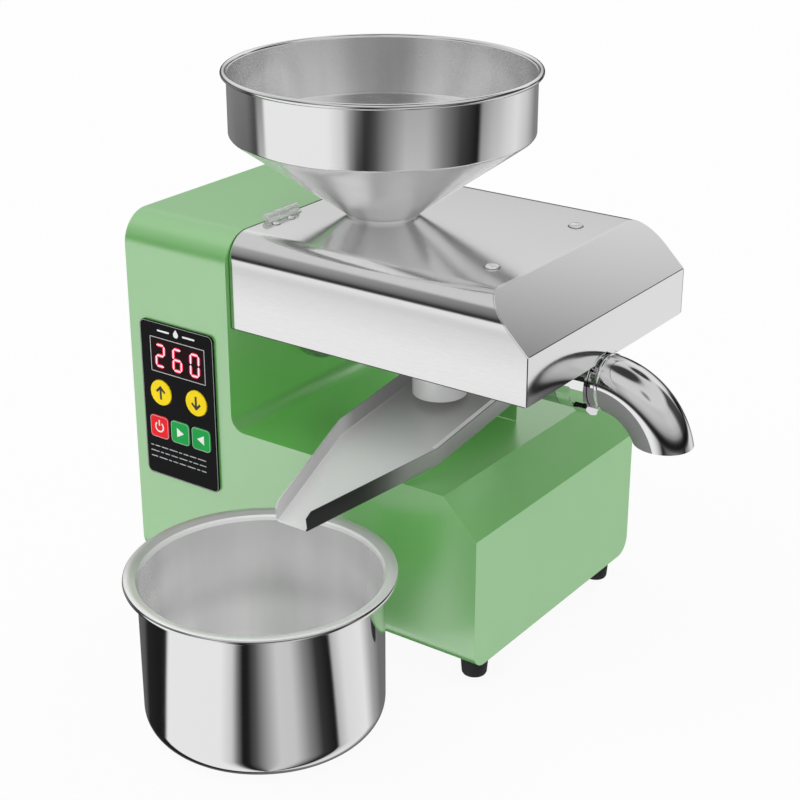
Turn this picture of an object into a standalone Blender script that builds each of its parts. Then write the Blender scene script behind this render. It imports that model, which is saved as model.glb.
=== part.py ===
"""Bench-top screw oil press: painted body, steel hood on hinges, hopper, press barrel, chute and pan.

Metres, +Z up. The machine frame has X from the column's left side towards the residue outlet,
Y from the control panel's face to the back, and Z from the table. The finished model is then
placed so that the world origin lies on the table under the middle of the whole machine.
"""
import math

import bmesh
import bpy
from mathutils import Matrix, Vector

for old_object in list(bpy.data.objects):
    bpy.data.objects.remove(old_object, do_unlink=True)

# Clearances
GAP = 0.0003                    # between pieces that touch
RUN = 0.0004                    # between pieces that turn or slide
TINY = 0.00001                  # merge distance of turned shapes
OVER = 0.002                    # how far a cutter passes a face

# Body
BODY_LENGTH = 0.2385
BODY_DEPTH = 0.168
COLUMN_WIDTH = 0.074
DECK_HEIGHT = 0.1113            # top of the base above the table
PRESS_ROOM = 0.1135             # from the deck to the top of the column and hood
BODY_HEIGHT = DECK_HEIGHT + PRESS_ROOM
END_CHAMFER = 0.021             # slope between the deck and the end face
SHEET = 0.0012
TOP_RADIUS = 0.018              # front and back edges of the column's top
BOTTOM_RADIUS = 0.010           # front and back edges of the base's underside
DECK_RADIUS = 0.009             # bend between the recess wall and the deck
RIM_SIDE = 0.016                # flange left round the opening underneath, front and back
RIM_END = 0.008
FOOT_HEIGHT = 0.013
FOOT_RADIUS = 0.0077
FOOT_TAPER = 0.001
FOOT_END_INSET = 0.011
FOOT_SIDE_INSET = 0.0175
FOOT_RECESS_RADIUS = 0.0035
FOOT_RECESS_DEPTH = 0.004
PLATE_MARGIN = 0.0055           # how far the bottom plate lies on the flange
PLATE_THICK = 0.0015
COVER_THICK = 0.0015

# Hood
HOOD_INSET = 0.003              # the green edge left in front of the hood
HOOD_LENGTH = 0.1899
HOOD_RADIUS = 0.0154
HOOD_SHEET = 0.001
SLOPE_RUN = 0.0271              # length of the sloped end seen from above
AXIS_Y = BODY_DEPTH / 2
AXIS_RISE = 0.0472              # press axis above the deck
AXIS_Z = DECK_HEIGHT + AXIS_RISE
HOOD_BOTTOM = AXIS_Z + 0.0131
SLOPE_DROP = (BODY_HEIGHT - HOOD_BOTTOM) * 0.5
HOOD_LEFT = COLUMN_WIDTH + GAP
HOOD_RIGHT = HOOD_LEFT + HOOD_LENGTH

# Hopper
HOPPER_X = 0.1186
HOPPER_RISE = 0.0829            # rim above the hood
HOPPER_TOP = BODY_HEIGHT + HOPPER_RISE
HOPPER_RADIUS = 0.0845
HOPPER_LIP = 0.0016             # radius of the rolled rim
HOPPER_WALL = 0.0007
HOPPER_STRAIGHT = 0.0350        # height of the straight part under the rim
NECK_RADIUS = 0.0196
SEAT_RISE = 0.0012              # where the cone meets the hood's hole

# Press barrel, screw and outlet
BARREL_RADIUS = 0.0178
BORE_RADIUS = 0.0126
BARREL_END = 0.2540
BARREL_NECK_RADIUS = 0.0156
BARREL_NECK_LENGTH = 0.0110
FLANGE_RADIUS = 0.028
FLANGE_THICK = 0.006
FLANGE_BOLT_CIRCLE = 0.0229
FLANGE_BOLT_RADIUS = 0.0032
FLANGE_BOLT_HEAD = 0.0036
THROAT_SHARE = 0.2825           # of the way from the barrel's top to the hood's
THROAT_TOP = AXIS_Z + BARREL_RADIUS + THROAT_SHARE * (BODY_HEIGHT - AXIS_Z - BARREL_RADIUS)
THROAT_RADIUS = 0.0215
FEED_RADIUS = 0.0165
DRAIN_X = 0.1579
DRAIN_RADIUS = 0.0152
DRAIN_WALL = 0.0025
DRAIN_DROP = 0.0320             # collar's end below the press axis
DRAIN_BOTTOM = AXIS_Z - DRAIN_DROP
SLIT_COUNT = 5
SLIT_WIDTH = 0.0012
SLIT_PITCH = 0.0038
HEATER_START = 0.186
HEATER_LENGTH = 0.026
HEATER_THICK = 0.0026
HEATER_EAR = 0.007
PROBE_X = 0.1785
PROBE_RADIUS = 0.0025
PROBE_HEIGHT = 0.012
NUT_RADIUS = 0.0193
NUT_LENGTH = 0.0177
NUT_SHOULDER = 0.0097           # where the nut's grip starts
NUT_SLOTS = 6
NUT_SLOT_WIDTH = 0.005
NUT_SLOT_DEPTH = 0.0022
NUT_STEP = 0.0015
SPIGOT_LENGTH = 0.0045
SPIGOT_RADIUS = 0.0132
OUTLET_RADIUS = 0.0105
ELBOW_RADIUS = 0.0154
ELBOW_WALL = 0.0014
ELBOW_BEND = 0.0376
ELBOW_DROP = 0.0265             # open end below the press axis
ELBOW_END = AXIS_Z - ELBOW_DROP
BEAD_RADIUS = 0.0172            # raised ring of the elbow outside the hood
BEAD_LENGTH = 0.0030
SCREW_ROOT_START = 0.0066
SCREW_ROOT_END = 0.0098
FLIGHT_PITCH = 0.0190
FLIGHT_TURNS = 7
FLIGHT_THICK = 0.0042
FLIGHT_CREST = 0.0030
SCREW_TIP = 0.006
SCREW_TIP_RADIUS = 0.0062
HEX_SIZE = 0.0100               # across the flats of the screw's drive
HEX_LENGTH = 0.0170

# Gearbox in the column
TRAIN_OFFSET = 0.014            # sideways step of the second gear from the press axis
PRESSURE_ANGLE = math.radians(20)
ADDENDUM = 0.75
DEDENDUM = 1.05
BACKLASH = 0.16                 # share of the module taken from each tooth
MODULE_FAST = 0.0015
MODULE_SLOW = 0.0020
PINION_TEETH = 10
WHEEL_TEETH = 40
OUTPUT_TEETH = 32
PLATE_A_THICK = 0.005
PLATE_B_THICK = 0.004
BOX_WIDTH = 0.0335              # between the two gearbox plates
FAST_FACE = 0.006
MID_FACE = 0.008
SLOW_FACE = 0.011
FACE_STEP = 0.0015              # between gears that pass each other
ARBOR_RADIUS = 0.0035
GEAR_HUB = 0.0012
SHAFT_RADIUS = 0.009
SHAFT_REAR_RADIUS = 0.007
BEARING_WALL = 0.007
MOTOR_RADIUS = 0.034
BASE_FLOOR = FOOT_HEIGHT + SHEET + GAP + PLATE_THICK    # top of the bottom plate
MOTOR_SHARE = 0.38314           # of the free height in the base that lies under the motor
MOTOR_Z = BASE_FLOOR + MOTOR_RADIUS + MOTOR_SHARE * (DECK_HEIGHT - SHEET - BASE_FLOOR - 2 * MOTOR_RADIUS)
MOTOR_LENGTH = 0.096
MOTOR_SHAFT_RADIUS = 0.003
MOTOR_BOSS_RADIUS = 0.010
PILLAR_RADIUS = 0.004
PILLAR_INSET = 0.006
BOX_MARGIN = 0.017              # plate left round the outer gears

# Control panel on the front face
PANEL_CENTRE_X = 0.0364
PANEL_CENTRE_Z = 0.1172
PANEL_WIDTH = 0.0547
PANEL_HEIGHT = 0.0960
PANEL_RADIUS = 0.0035
PANEL_THICK = 0.0012
WINDOW_WIDTH = 0.0410
WINDOW_HEIGHT = 0.0212
WINDOW_Z = 0.1453
ROUND_KEY_RADIUS = 0.0077
ROUND_KEY_SPREAD = 0.0134       # half the distance between the round keys
ROUND_KEY_Z = 0.1222
SQUARE_KEY_SIZE = 0.0136
SQUARE_KEY_RADIUS = 0.0022
SQUARE_KEY_SPREAD = 0.0159
SQUARE_KEY_Z = 0.1002
KEY_PROUD = 0.0006
KEY_TRAVEL = 0.0005
KEY_DEPTH = 0.0026
KEY_FLANGE = 0.0010
CUTOUT_MARGIN = 0.0035          # panel left round the hole behind it
BOARD_FRONT = 0.0083
BOARD_THICK = 0.0016
BOARD_POST_RADIUS = 0.0016
DOME_RADIUS = 0.0025
MODULE_DEPTH = 0.0080

# Power inlet and cooling
INLET_X = 0.037
INLET_Z = 0.048
INLET_WIDTH = 0.0270
INLET_HEIGHT = 0.0200
INLET_DEPTH = 0.0200
INLET_LIP = 0.0020
INLET_FACE = 0.0022
INLET_WALL = 0.0016
PIN_WIDTH = 0.0040
PIN_THICK = 0.0020
PIN_SPREAD = 0.0070
FAN_SIZE = 0.060
FAN_THICK = 0.012
FAN_HOLE_RADIUS = 0.0285
FAN_HUB_RADIUS = 0.0110
FAN_BLADES = 7
FAN_PITCH = math.radians(35)
GRILLE_RINGS = 3
GRILLE_SLOT = 0.0035
GRILLE_START = 0.0130
GRILLE_STEP = 0.0068
VENT_COUNT = 8
VENT_WIDTH = 0.0032
VENT_HEIGHT = 0.034
VENT_PITCH = 0.0080
VENT_START_X = BODY_LENGTH - 0.0885
VENT_Z = 0.064

# Hinges of the hood
HINGE_X = COLUMN_WIDTH + 0.0012
HINGE_RISE = 0.0024             # pin above the column's top
KNUCKLE_RADIUS = 0.0022
HINGE_PIN_RADIUS = 0.0012
HINGE_WIDTH = 0.0269
HINGE_SPREAD = 0.0366           # from the press axis to a hinge's middle
LEAF = 0.0010
LEAF_REACH = 0.0155
LEAF_DROP = 0.020
RIVET_X = 0.0081                # from the seam
RIVET_SPREAD = 0.0064
RIVET_SHIFT = 0.0062            # rivets' middle outside the hinge's middle
LEAF_TAIL = 0.0027              # moving leaf past the knuckles
RIVET_RADIUS = 0.0021
HOOD_SCREW_X = 0.2180
HOOD_SCREW_SPREAD = 0.0422
HOOD_SCREW_RADIUS = 0.0038
SADDLE_THICK = 0.0012
SADDLE_FLANGE = 0.012
SADDLE_EDGE = 0.012

# Chute and pan
CHUTE_SHEET = 0.0010
CHUTE_X = 0.1663
CHUTE_HALF_WIDE = 0.0320
CHUTE_HALF_TIP = 0.0093
CHUTE_TIP_Y = -0.0609
CHUTE_KINK_Y = 0.0231
CHUTE_BACK_Y = 0.1040
CHUTE_SLOPE = 0.130
CHUTE_WALL = 0.0097
CHUTE_SNIP = 0.0034             # length and share of height cut off the walls' front corners
CHUTE_SNIP_SHARE = 0.3
PAN_X = 0.1611
PAN_Y = -0.0805
PAN_HEIGHT = 0.0865
PAN_RADIUS = 0.0628
PAN_RIM = 0.0699
PAN_WALL = 0.0008
PAN_CORNER = 0.013

FINE_STEPS = 36
ROUND_STEPS = 24
SMALL_STEPS = 12

# Colours as linear red, green, blue, then roughness and metallic
FINISH = {
    "green_paint": ((0.27, 0.47, 0.22), 0.42, 0.0),
    "satin_steel": ((0.72, 0.72, 0.71), 0.28, 1.0),
    "polished_steel": ((0.80, 0.80, 0.80), 0.12, 1.0),
    "cast_steel": ((0.46, 0.46, 0.47), 0.38, 1.0),
    "gear_steel": ((0.52, 0.50, 0.47), 0.35, 1.0),
    "bronze": ((0.62, 0.42, 0.20), 0.35, 1.0),
    "black_rubber": ((0.012, 0.012, 0.013), 0.75, 0.0),
    "black_gloss": ((0.006, 0.006, 0.007), 0.18, 0.0),
    "black_plastic": ((0.02, 0.02, 0.02), 0.5, 0.0),
    "red_window": ((0.12, 0.004, 0.006), 0.08, 0.0),
    "yellow_key": ((0.90, 0.70, 0.02), 0.3, 0.0),
    "red_key": ((0.75, 0.01, 0.03), 0.3, 0.0),
    "green_key": ((0.01, 0.38, 0.10), 0.3, 0.0),
    "circuit_board": ((0.01, 0.12, 0.04), 0.5, 0.0),
    "motor_enamel": ((0.05, 0.05, 0.055), 0.45, 0.3),
    "heater_mica": ((0.55, 0.50, 0.42), 0.5, 0.6),
}

parts = bpy.data.collections.new("screw_oil_press")
cutters = bpy.data.collections.new("cutters")
bpy.context.scene.collection.children.link(parts)
bpy.context.scene.collection.children.link(cutters)

AXIS_TURN = {"X": (0, math.pi / 2, 0), "Y": (-math.pi / 2, 0, 0), "Z": (0, 0, 0)}
PLANE = {
    "XY": Matrix.Identity(4),
    "XZ": Matrix(((1, 0, 0, 0), (0, 0, -1, 0), (0, 1, 0, 0), (0, 0, 0, 1))),
    "YZ": Matrix(((0, 0, 1, 0), (1, 0, 0, 0), (0, 1, 0, 0), (0, 0, 0, 1))),
}


# Helpers

def material(name):
    """The Principled material of this name, made on first use."""
    found = bpy.data.materials.get(name)
    if found:
        return found
    colour, roughness, metallic = FINISH[name]
    made = bpy.data.materials.new(name)
    made.use_nodes = True
    shader = made.node_tree.nodes["Principled BSDF"]
    shader.inputs["Base Color"].default_value = (*colour, 1.0)
    shader.inputs["Roughness"].default_value = roughness
    shader.inputs["Metallic"].default_value = metallic
    made.diffuse_color = (*colour, 1.0)
    return made


def empty(name, location, parent=None):
    """An empty that marks a joint's axis, or the machine frame."""
    made = bpy.data.objects.new(name, None)
    parts.objects.link(made)
    made.empty_display_size = 0.02
    made.parent = parent
    made.location = Vector(location) - (world_place(parent) if parent else Vector())
    return made


def world_place(obj):
    """Where an empty sits in the machine frame."""
    place = Vector()
    while obj is not None and obj is not machine:
        place += obj.location
        obj = obj.parent
    return place


machine = None
machine = empty("machine_frame", (0, 0, 0))


def finish(obj, finish_name, body=None, smooth=30):
    """Give a made object its material, its body's empty as parent and its shading."""
    carrier = body or machine
    obj.data.materials.clear()
    obj.data.materials.append(material(finish_name))
    obj.parent = carrier
    obj.location = obj.location - world_place(carrier)
    if smooth:
        obj.data.shade_smooth()
        obj.data.set_sharp_from_angle(angle=math.radians(smooth))
    return obj


def keep(obj, as_part):
    """Put an object among the parts, or among the cutters and out of sight."""
    (parts if as_part else cutters).objects.link(obj)
    if not as_part:
        obj.hide_render = True
        obj.display_type = "WIRE"
        obj.parent = machine
    return obj


def from_bmesh(name, bm, as_part, location=(0, 0, 0), turn=(0, 0, 0)):
    mesh = bpy.data.meshes.new(name)
    bm.to_mesh(mesh)
    bm.free()
    obj = bpy.data.objects.new(name, mesh)
    obj.location = location
    obj.rotation_euler = turn
    return keep(obj, as_part)


def box(name, low, high, as_part=False):
    """A box between two corners."""
    low, high = Vector(low), Vector(high)
    bm = bmesh.new()
    bmesh.ops.create_cube(bm, size=1.0, matrix=Matrix.Diagonal((*(high - low), 1.0)))
    return from_bmesh(name, bm, as_part, (low + high) / 2)


def rod(name, base, length, radius, axis="X", end_radius=None, steps=ROUND_STEPS, as_part=False):
    """A cylinder or cone from base along +axis."""
    bm = bmesh.new()
    top = radius if end_radius is None else end_radius
    bmesh.ops.create_cone(bm, cap_ends=True, segments=steps, radius1=radius, radius2=top,
                          depth=length, matrix=Matrix.Translation((0, 0, length / 2)))
    return from_bmesh(name, bm, as_part, base, AXIS_TURN[axis])


def turned(name, profile, base, axis="Z", steps=ROUND_STEPS, closed=False, as_part=False):
    """A profile of (radius, height) points turned about an axis through base.

    The profile runs down its outer side. A closed one makes a ring, and an open one
    starts and ends on the axis.
    """
    mesh = bpy.data.meshes.new(name)
    edges = [(i, i + 1) for i in range(len(profile) - 1)]
    if closed:
        edges.append((len(profile) - 1, 0))
    mesh.from_pydata([(r, 0, h) for r, h in profile], edges, [])
    obj = bpy.data.objects.new(name, mesh)
    obj.location = base
    obj.rotation_euler = AXIS_TURN[axis]
    screw = obj.modifiers.new("turn", "SCREW")
    screw.axis = "Z"
    screw.steps = screw.render_steps = steps
    screw.use_merge_vertices = True
    screw.merge_threshold = TINY
    return keep(obj, as_part)


def tube_profile(inner, outer, low, high):
    return [(outer, high), (outer, low), (inner, low), (inner, high)]


def baked(obj, name, as_part, weld=TINY):
    """Replace a curve or modified object by the mesh that it shows."""
    bpy.context.view_layer.update()
    graph = bpy.context.evaluated_depsgraph_get()
    mesh = bpy.data.meshes.new_from_object(obj.evaluated_get(graph))
    bm = bmesh.new()
    bm.from_mesh(mesh)
    bmesh.ops.remove_doubles(bm, verts=bm.verts, dist=weld)
    bmesh.ops.recalc_face_normals(bm, faces=bm.faces)
    bm.to_mesh(mesh)
    bm.free()
    place = obj.matrix_world.copy()
    bpy.data.objects.remove(obj, do_unlink=True)
    made = bpy.data.objects.new(name, mesh)
    mesh.name = name
    made.location = place.to_translation()
    made.rotation_euler = place.to_euler()
    return keep(made, as_part)


def extruded(name, loops, plane, low, high, as_part=False, place=(0, 0)):
    """A flat outline with holes, in the plane XY, XZ or YZ, between two depths.

    place is where the outline's own origin lies in that plane.
    """
    curve = bpy.data.curves.new(name, "CURVE")
    curve.dimensions = "2D"
    curve.fill_mode = "BOTH"
    curve.extrude = (high - low) / 2
    for loop in loops:
        spline = curve.splines.new("POLY")
        spline.points.add(len(loop) - 1)
        for point, (u, v) in zip(spline.points, loop):
            point.co = (u, v, 0, 1)
        spline.use_cyclic_u = True
    drawn = bpy.data.objects.new(name + "_outline", curve)
    bpy.context.scene.collection.objects.link(drawn)
    made = baked(drawn, name, as_part)
    turn = PLANE[plane].to_3x3()
    made.data.transform(PLANE[plane])
    normal = turn @ Vector((0, 0, 1))
    made.location = turn @ Vector((*place, 0)) + Vector([abs(n) * (low + high) / 2 for n in normal])
    return made


def piped(name, points, radius, as_part=False, resolution=4):
    """A round bar along points."""
    curve = bpy.data.curves.new(name, "CURVE")
    curve.dimensions = "3D"
    curve.bevel_depth = radius
    curve.bevel_resolution = resolution
    curve.use_fill_caps = True
    spline = curve.splines.new("POLY")
    spline.points.add(len(points) - 1)
    for point, place in zip(spline.points, points):
        point.co = (*place, 1)
    drawn = bpy.data.objects.new(name + "_path", curve)
    bpy.context.scene.collection.objects.link(drawn)
    return baked(drawn, name, as_part)


def boolean(obj, other, operation):
    step = obj.modifiers.new(operation.lower(), "BOOLEAN")
    step.operation = operation
    step.object = other
    step.solver = "EXACT"
    return obj


def cut(obj, *others):
    for other in others:
        boolean(obj, other, "DIFFERENCE")
    return obj


def join(obj, *others):
    for other in others:
        boolean(obj, other, "UNION")
    return obj


def rounded(corners, steps=6):
    """A loop from (x, y, radius) corners, with each corner's arc in steps."""
    loop = []
    count = len(corners)
    for i, (x, y, radius) in enumerate(corners):
        here = Vector((x, y))
        if radius <= 0:
            loop.append((x, y))
            continue
        back = (Vector(corners[i - 1][:2]) - here).normalized()
        ahead = (Vector(corners[(i + 1) % count][:2]) - here).normalized()
        half = back.angle(ahead) / 2
        centre = here + (back + ahead).normalized() * (radius / math.sin(half))
        start = here + back * (radius / math.tan(half)) - centre
        sweep = start.angle_signed(here + ahead * (radius / math.tan(half)) - centre)
        for k in range(steps + 1):
            turn = Matrix.Rotation(-sweep * k / steps, 2)
            loop.append(tuple(centre + turn @ start))
    return loop


def inset(loop, amount):
    """The loop moved inwards by amount, for a loop that runs anticlockwise."""
    count = len(loop)
    moved = []
    for i in range(count):
        before, here, after = (Vector(loop[(i + k) % count]) for k in (-1, 0, 1))
        first = (here - before).normalized()
        second = (after - here).normalized()
        normal_1 = Vector((-first.y, first.x))
        normal_2 = Vector((-second.y, second.x))
        middle = normal_1 + normal_2
        moved.append(tuple(here + middle * (2 * amount / middle.length_squared)))
    return moved


def rectangle(cx, cy, width, height, radius=0.0, steps=4):
    w, h = width / 2, height / 2
    corners = [(cx - w, cy - h, radius), (cx + w, cy - h, radius),
               (cx + w, cy + h, radius), (cx - w, cy + h, radius)]
    return rounded(corners, steps)


def circle(cx, cy, radius, steps=ROUND_STEPS):
    return [(cx + radius * math.cos(2 * math.pi * k / steps), cy + radius * math.sin(2 * math.pi * k / steps))
            for k in range(steps)]


# Body

def body_loop():
    """The body's outline seen from the front."""
    return rounded([
        (0, FOOT_HEIGHT, 0), (BODY_LENGTH, FOOT_HEIGHT, 0),
        (BODY_LENGTH, DECK_HEIGHT - END_CHAMFER, 0), (BODY_LENGTH - END_CHAMFER, DECK_HEIGHT, 0),
        (COLUMN_WIDTH, DECK_HEIGHT, DECK_RADIUS), (COLUMN_WIDTH, BODY_HEIGHT, 0), (0, BODY_HEIGHT, 0)])


def body_section():
    """The body's outline seen from the left end."""
    return rounded([
        (0, FOOT_HEIGHT, BOTTOM_RADIUS), (BODY_DEPTH, FOOT_HEIGHT, BOTTOM_RADIUS),
        (BODY_DEPTH, BODY_HEIGHT, TOP_RADIUS), (0, BODY_HEIGHT, TOP_RADIUS)])


def foot_places():
    return [(x, y) for x in (FOOT_END_INSET, BODY_LENGTH - FOOT_END_INSET)
            for y in (FOOT_SIDE_INSET, BODY_DEPTH - FOOT_SIDE_INSET)]


def make_body():
    shell = extruded("body_shell", [body_loop()], "XZ", 0, BODY_DEPTH, True)
    section = extruded("body_section", [body_section()], "YZ", -OVER, BODY_LENGTH + OVER)
    boolean(shell, section, "INTERSECT")
    hollow_loop = [(x if x > SHEET * 1.5 else -OVER, z) for x, z in inset(body_loop(), SHEET)]
    hollow = extruded("body_hollow", [hollow_loop], "XZ", -OVER, BODY_DEPTH + OVER)
    inner = extruded("body_inner_section", [inset(body_section(), SHEET)], "YZ",
                     -OVER * 2, BODY_LENGTH + OVER)
    boolean(hollow, inner, "INTERSECT")
    underside = box("body_underside", (RIM_END, RIM_SIDE, 0),
                    (BODY_LENGTH - RIM_END, BODY_DEPTH - RIM_SIDE, FOOT_HEIGHT + SHEET + OVER))
    shaft_hole = rod("shaft_hole", (COLUMN_WIDTH - SHEET - OVER, AXIS_Y, AXIS_Z), SHEET + 2 * OVER,
                     SHAFT_RADIUS + 0.003)
    panel_hole = box("panel_hole", (PANEL_CENTRE_X - PANEL_WIDTH / 2 + CUTOUT_MARGIN, -OVER,
                                    PANEL_CENTRE_Z - PANEL_HEIGHT / 2 + CUTOUT_MARGIN * 2),
                     (PANEL_CENTRE_X + PANEL_WIDTH / 2 - CUTOUT_MARGIN, SHEET + OVER,
                      PANEL_CENTRE_Z + PANEL_HEIGHT / 2 - CUTOUT_MARGIN))
    inlet_hole = box("inlet_hole",
                     (INLET_X - INLET_WIDTH / 2 - GAP, BODY_DEPTH - SHEET - OVER, INLET_Z - INLET_HEIGHT / 2 - GAP),
                     (INLET_X + INLET_WIDTH / 2 + GAP, BODY_DEPTH + OVER, INLET_Z + INLET_HEIGHT / 2 + GAP))
    cut(shell, hollow, underside, shaft_hole, panel_hole, inlet_hole)
    for k in range(VENT_COUNT):
        x = VENT_START_X + k * VENT_PITCH
        slot = rectangle(x, VENT_Z, VENT_WIDTH, VENT_HEIGHT, VENT_WIDTH * 0.45, 2)
        cut(shell, extruded(f"vent_slot_{k + 1}", [slot], "XZ", BODY_DEPTH - SHEET - OVER, BODY_DEPTH + OVER))
    finish(shell, "green_paint")

    outline = inset(body_section(), SHEET + GAP)
    grille = [arc_slot(AXIS_Y, MOTOR_Z, GRILLE_START + ring * GRILLE_STEP, quarter)
              for ring in range(GRILLE_RINGS) for quarter in range(4)]
    finish(extruded("side_cover", [outline] + grille, "YZ", 0, COVER_THICK, True), "green_paint")

    low = FOOT_HEIGHT + SHEET + GAP
    edge = RIM_SIDE - PLATE_MARGIN
    plate = rectangle(BODY_LENGTH / 2, BODY_DEPTH / 2, BODY_LENGTH - 2 * (COVER_THICK + OVER),
                      BODY_DEPTH - 2 * edge, 0.004)
    finish(extruded("bottom_plate", [plate], "XY", low, low + PLATE_THICK, True), "satin_steel")

    for k, (x, y) in enumerate(foot_places()):
        foot = FOOT_HEIGHT - GAP
        profile = [(0, foot), (FOOT_RADIUS, foot), (FOOT_RADIUS - FOOT_TAPER, 0),
                   (FOOT_RECESS_RADIUS, 0), (FOOT_RECESS_RADIUS, FOOT_RECESS_DEPTH), (0, FOOT_RECESS_DEPTH)]
        finish(turned(f"foot_{k + 1}", profile, (x, y, 0), steps=14, as_part=True), "black_rubber")


def arc_slot(cx, cy, radius, quarter, steps=3):
    """A curved slot of the grille, one of four round a circle."""
    start = math.pi / 2 * quarter + 0.16 * 0.0285 / radius
    sweep = math.pi / 2 - 2 * 0.16 * 0.0285 / radius
    angles = [start + sweep * k / steps for k in range(steps + 1)]
    outer = [(cx + (radius + GRILLE_SLOT / 2) * math.cos(a), cy + (radius + GRILLE_SLOT / 2) * math.sin(a))
             for a in angles]
    inner = [(cx + (radius - GRILLE_SLOT / 2) * math.cos(a), cy + (radius - GRILLE_SLOT / 2) * math.sin(a))
             for a in reversed(angles)]
    return outer + inner


# Control panel

def key_places():
    """Name, x, z, round or not, and finish of each key."""
    x = PANEL_CENTRE_X
    return [
        ("key_temperature_up", x - ROUND_KEY_SPREAD, ROUND_KEY_Z, True, "yellow_key"),
        ("key_temperature_down", x + ROUND_KEY_SPREAD, ROUND_KEY_Z, True, "yellow_key"),
        ("key_power", x - SQUARE_KEY_SPREAD, SQUARE_KEY_Z, False, "red_key"),
        ("key_forward", x, SQUARE_KEY_Z, False, "green_key"),
        ("key_reverse", x + SQUARE_KEY_SPREAD, SQUARE_KEY_Z, False, "green_key"),
    ]


def key_loop(x, z, is_round, grow):
    if is_round:
        return circle(x, z, ROUND_KEY_RADIUS + grow, 18)
    size = SQUARE_KEY_SIZE + 2 * grow
    return rectangle(x, z, size, size, SQUARE_KEY_RADIUS + grow, 2)


def make_panel():
    front = -GAP - PANEL_THICK
    holes = [key_loop(x, z, is_round, GAP) for _, x, z, is_round, _ in key_places()]
    window = rectangle(PANEL_CENTRE_X, WINDOW_Z, WINDOW_WIDTH, WINDOW_HEIGHT, 0.001, 2)
    window_hole = rectangle(PANEL_CENTRE_X, WINDOW_Z, WINDOW_WIDTH + 2 * GAP, WINDOW_HEIGHT + 2 * GAP, 0.001, 2)
    outline = rectangle(PANEL_CENTRE_X, PANEL_CENTRE_Z, PANEL_WIDTH, PANEL_HEIGHT, PANEL_RADIUS, 5)
    finish(extruded("control_panel", [outline, window_hole] + holes, "XZ", front, -GAP, True), "black_gloss")
    finish(extruded("display_window", [window], "XZ", front, -GAP, True), "red_window")
    module = box("display_module",
                 (PANEL_CENTRE_X - WINDOW_WIDTH / 2 + 0.001, 0, WINDOW_Z - WINDOW_HEIGHT / 2 + 0.001),
                 (PANEL_CENTRE_X + WINDOW_WIDTH / 2 - 0.001, MODULE_DEPTH, WINDOW_Z + WINDOW_HEIGHT / 2 - 0.001),
                 True)
    finish(module, "black_plastic", smooth=0)
    for name, x, z, is_round, colour in key_places():
        axis = empty(name + "_travel", (x, front, z), machine)
        cap = extruded(name, [key_loop(x, z, is_round, 0)], "XZ", front - KEY_PROUD, KEY_DEPTH, True)
        flange = extruded(name + "_flange", [key_loop(x, z, is_round, 0.0006)], "XZ", 0, KEY_FLANGE)
        join(cap, flange)
        finish(cap, colour, axis)
    board = box("control_board",
                (PANEL_CENTRE_X - PANEL_WIDTH / 2, BOARD_FRONT, PANEL_CENTRE_Z - PANEL_HEIGHT / 2),
                (PANEL_CENTRE_X + PANEL_WIDTH / 2, BOARD_FRONT + BOARD_THICK, PANEL_CENTRE_Z + PANEL_HEIGHT / 2),
                True)
    for name, x, z, _, _ in key_places():
        tip = KEY_DEPTH + KEY_TRAVEL + GAP
        join(board, rod(name + "_switch", (x, tip, z), BOARD_FRONT - tip + 0.0005, DOME_RADIUS, "Y", steps=8))
    margin = CUTOUT_MARGIN / 2
    for k, (side, up) in enumerate([(-1, -1), (1, -1), (-1, 1), (1, 1)]):
        x = PANEL_CENTRE_X + side * (PANEL_WIDTH / 2 - margin)
        z = PANEL_CENTRE_Z + up * (PANEL_HEIGHT / 2 - margin)
        join(board, rod(f"board_post_{k + 1}", (x, SHEET + GAP, z), BOARD_FRONT - SHEET, BOARD_POST_RADIUS,
                        "Y", steps=8))
    finish(board, "circuit_board", smooth=0)


def make_inlet():
    back = BODY_DEPTH
    w, h = INLET_WIDTH / 2, INLET_HEIGHT / 2
    inlet = box("power_inlet", (INLET_X - w, back - INLET_DEPTH, INLET_Z - h),
                (INLET_X + w, back + GAP + INLET_FACE, INLET_Z + h), True)
    lip_loop = rectangle(INLET_X, INLET_Z, INLET_WIDTH + 2 * INLET_LIP, INLET_HEIGHT + 2 * INLET_LIP, 0.003)
    lip = extruded("inlet_lip", [lip_loop], "XZ", back + GAP, back + GAP + INLET_FACE)
    wall = INLET_WALL
    corner = 0.006
    cavity_loop = [(INLET_X - w + wall, INLET_Z - h + wall), (INLET_X + w - wall, INLET_Z - h + wall),
                   (INLET_X + w - wall, INLET_Z + h - wall - corner), (INLET_X + w - wall - corner, INLET_Z + h - wall),
                   (INLET_X - w + wall + corner, INLET_Z + h - wall), (INLET_X - w + wall, INLET_Z + h - wall - corner)]
    cavity = extruded("inlet_cavity", [cavity_loop], "XZ", back - INLET_DEPTH + wall, back + INLET_FACE + OVER)
    join(inlet, lip)
    cut(inlet, cavity)
    for k, (dx, dz) in enumerate([(-PIN_SPREAD, -0.002), (PIN_SPREAD, -0.002), (0, 0.002)]):
        pin = box(f"inlet_pin_{k + 1}",
                  (INLET_X + dx - PIN_THICK / 2, back - INLET_DEPTH + wall / 2, INLET_Z + dz - PIN_WIDTH / 2),
                  (INLET_X + dx + PIN_THICK / 2, back - 0.003, INLET_Z + dz + PIN_WIDTH / 2))
        join(inlet, pin)
    finish(inlet, "black_plastic", smooth=0)


# Gearbox and motor

def meeting(first, first_reach, second, second_reach):
    """The point at given distances from two points, on the left of the way between them."""
    first, second = Vector(first), Vector(second)
    span = (second - first).length
    along = (first_reach ** 2 - second_reach ** 2 + span ** 2) / (2 * span)
    side = math.sqrt(first_reach ** 2 - along ** 2)
    way = (second - first) / span
    return first + way * along + Vector((way.y, -way.x)) * side


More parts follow.
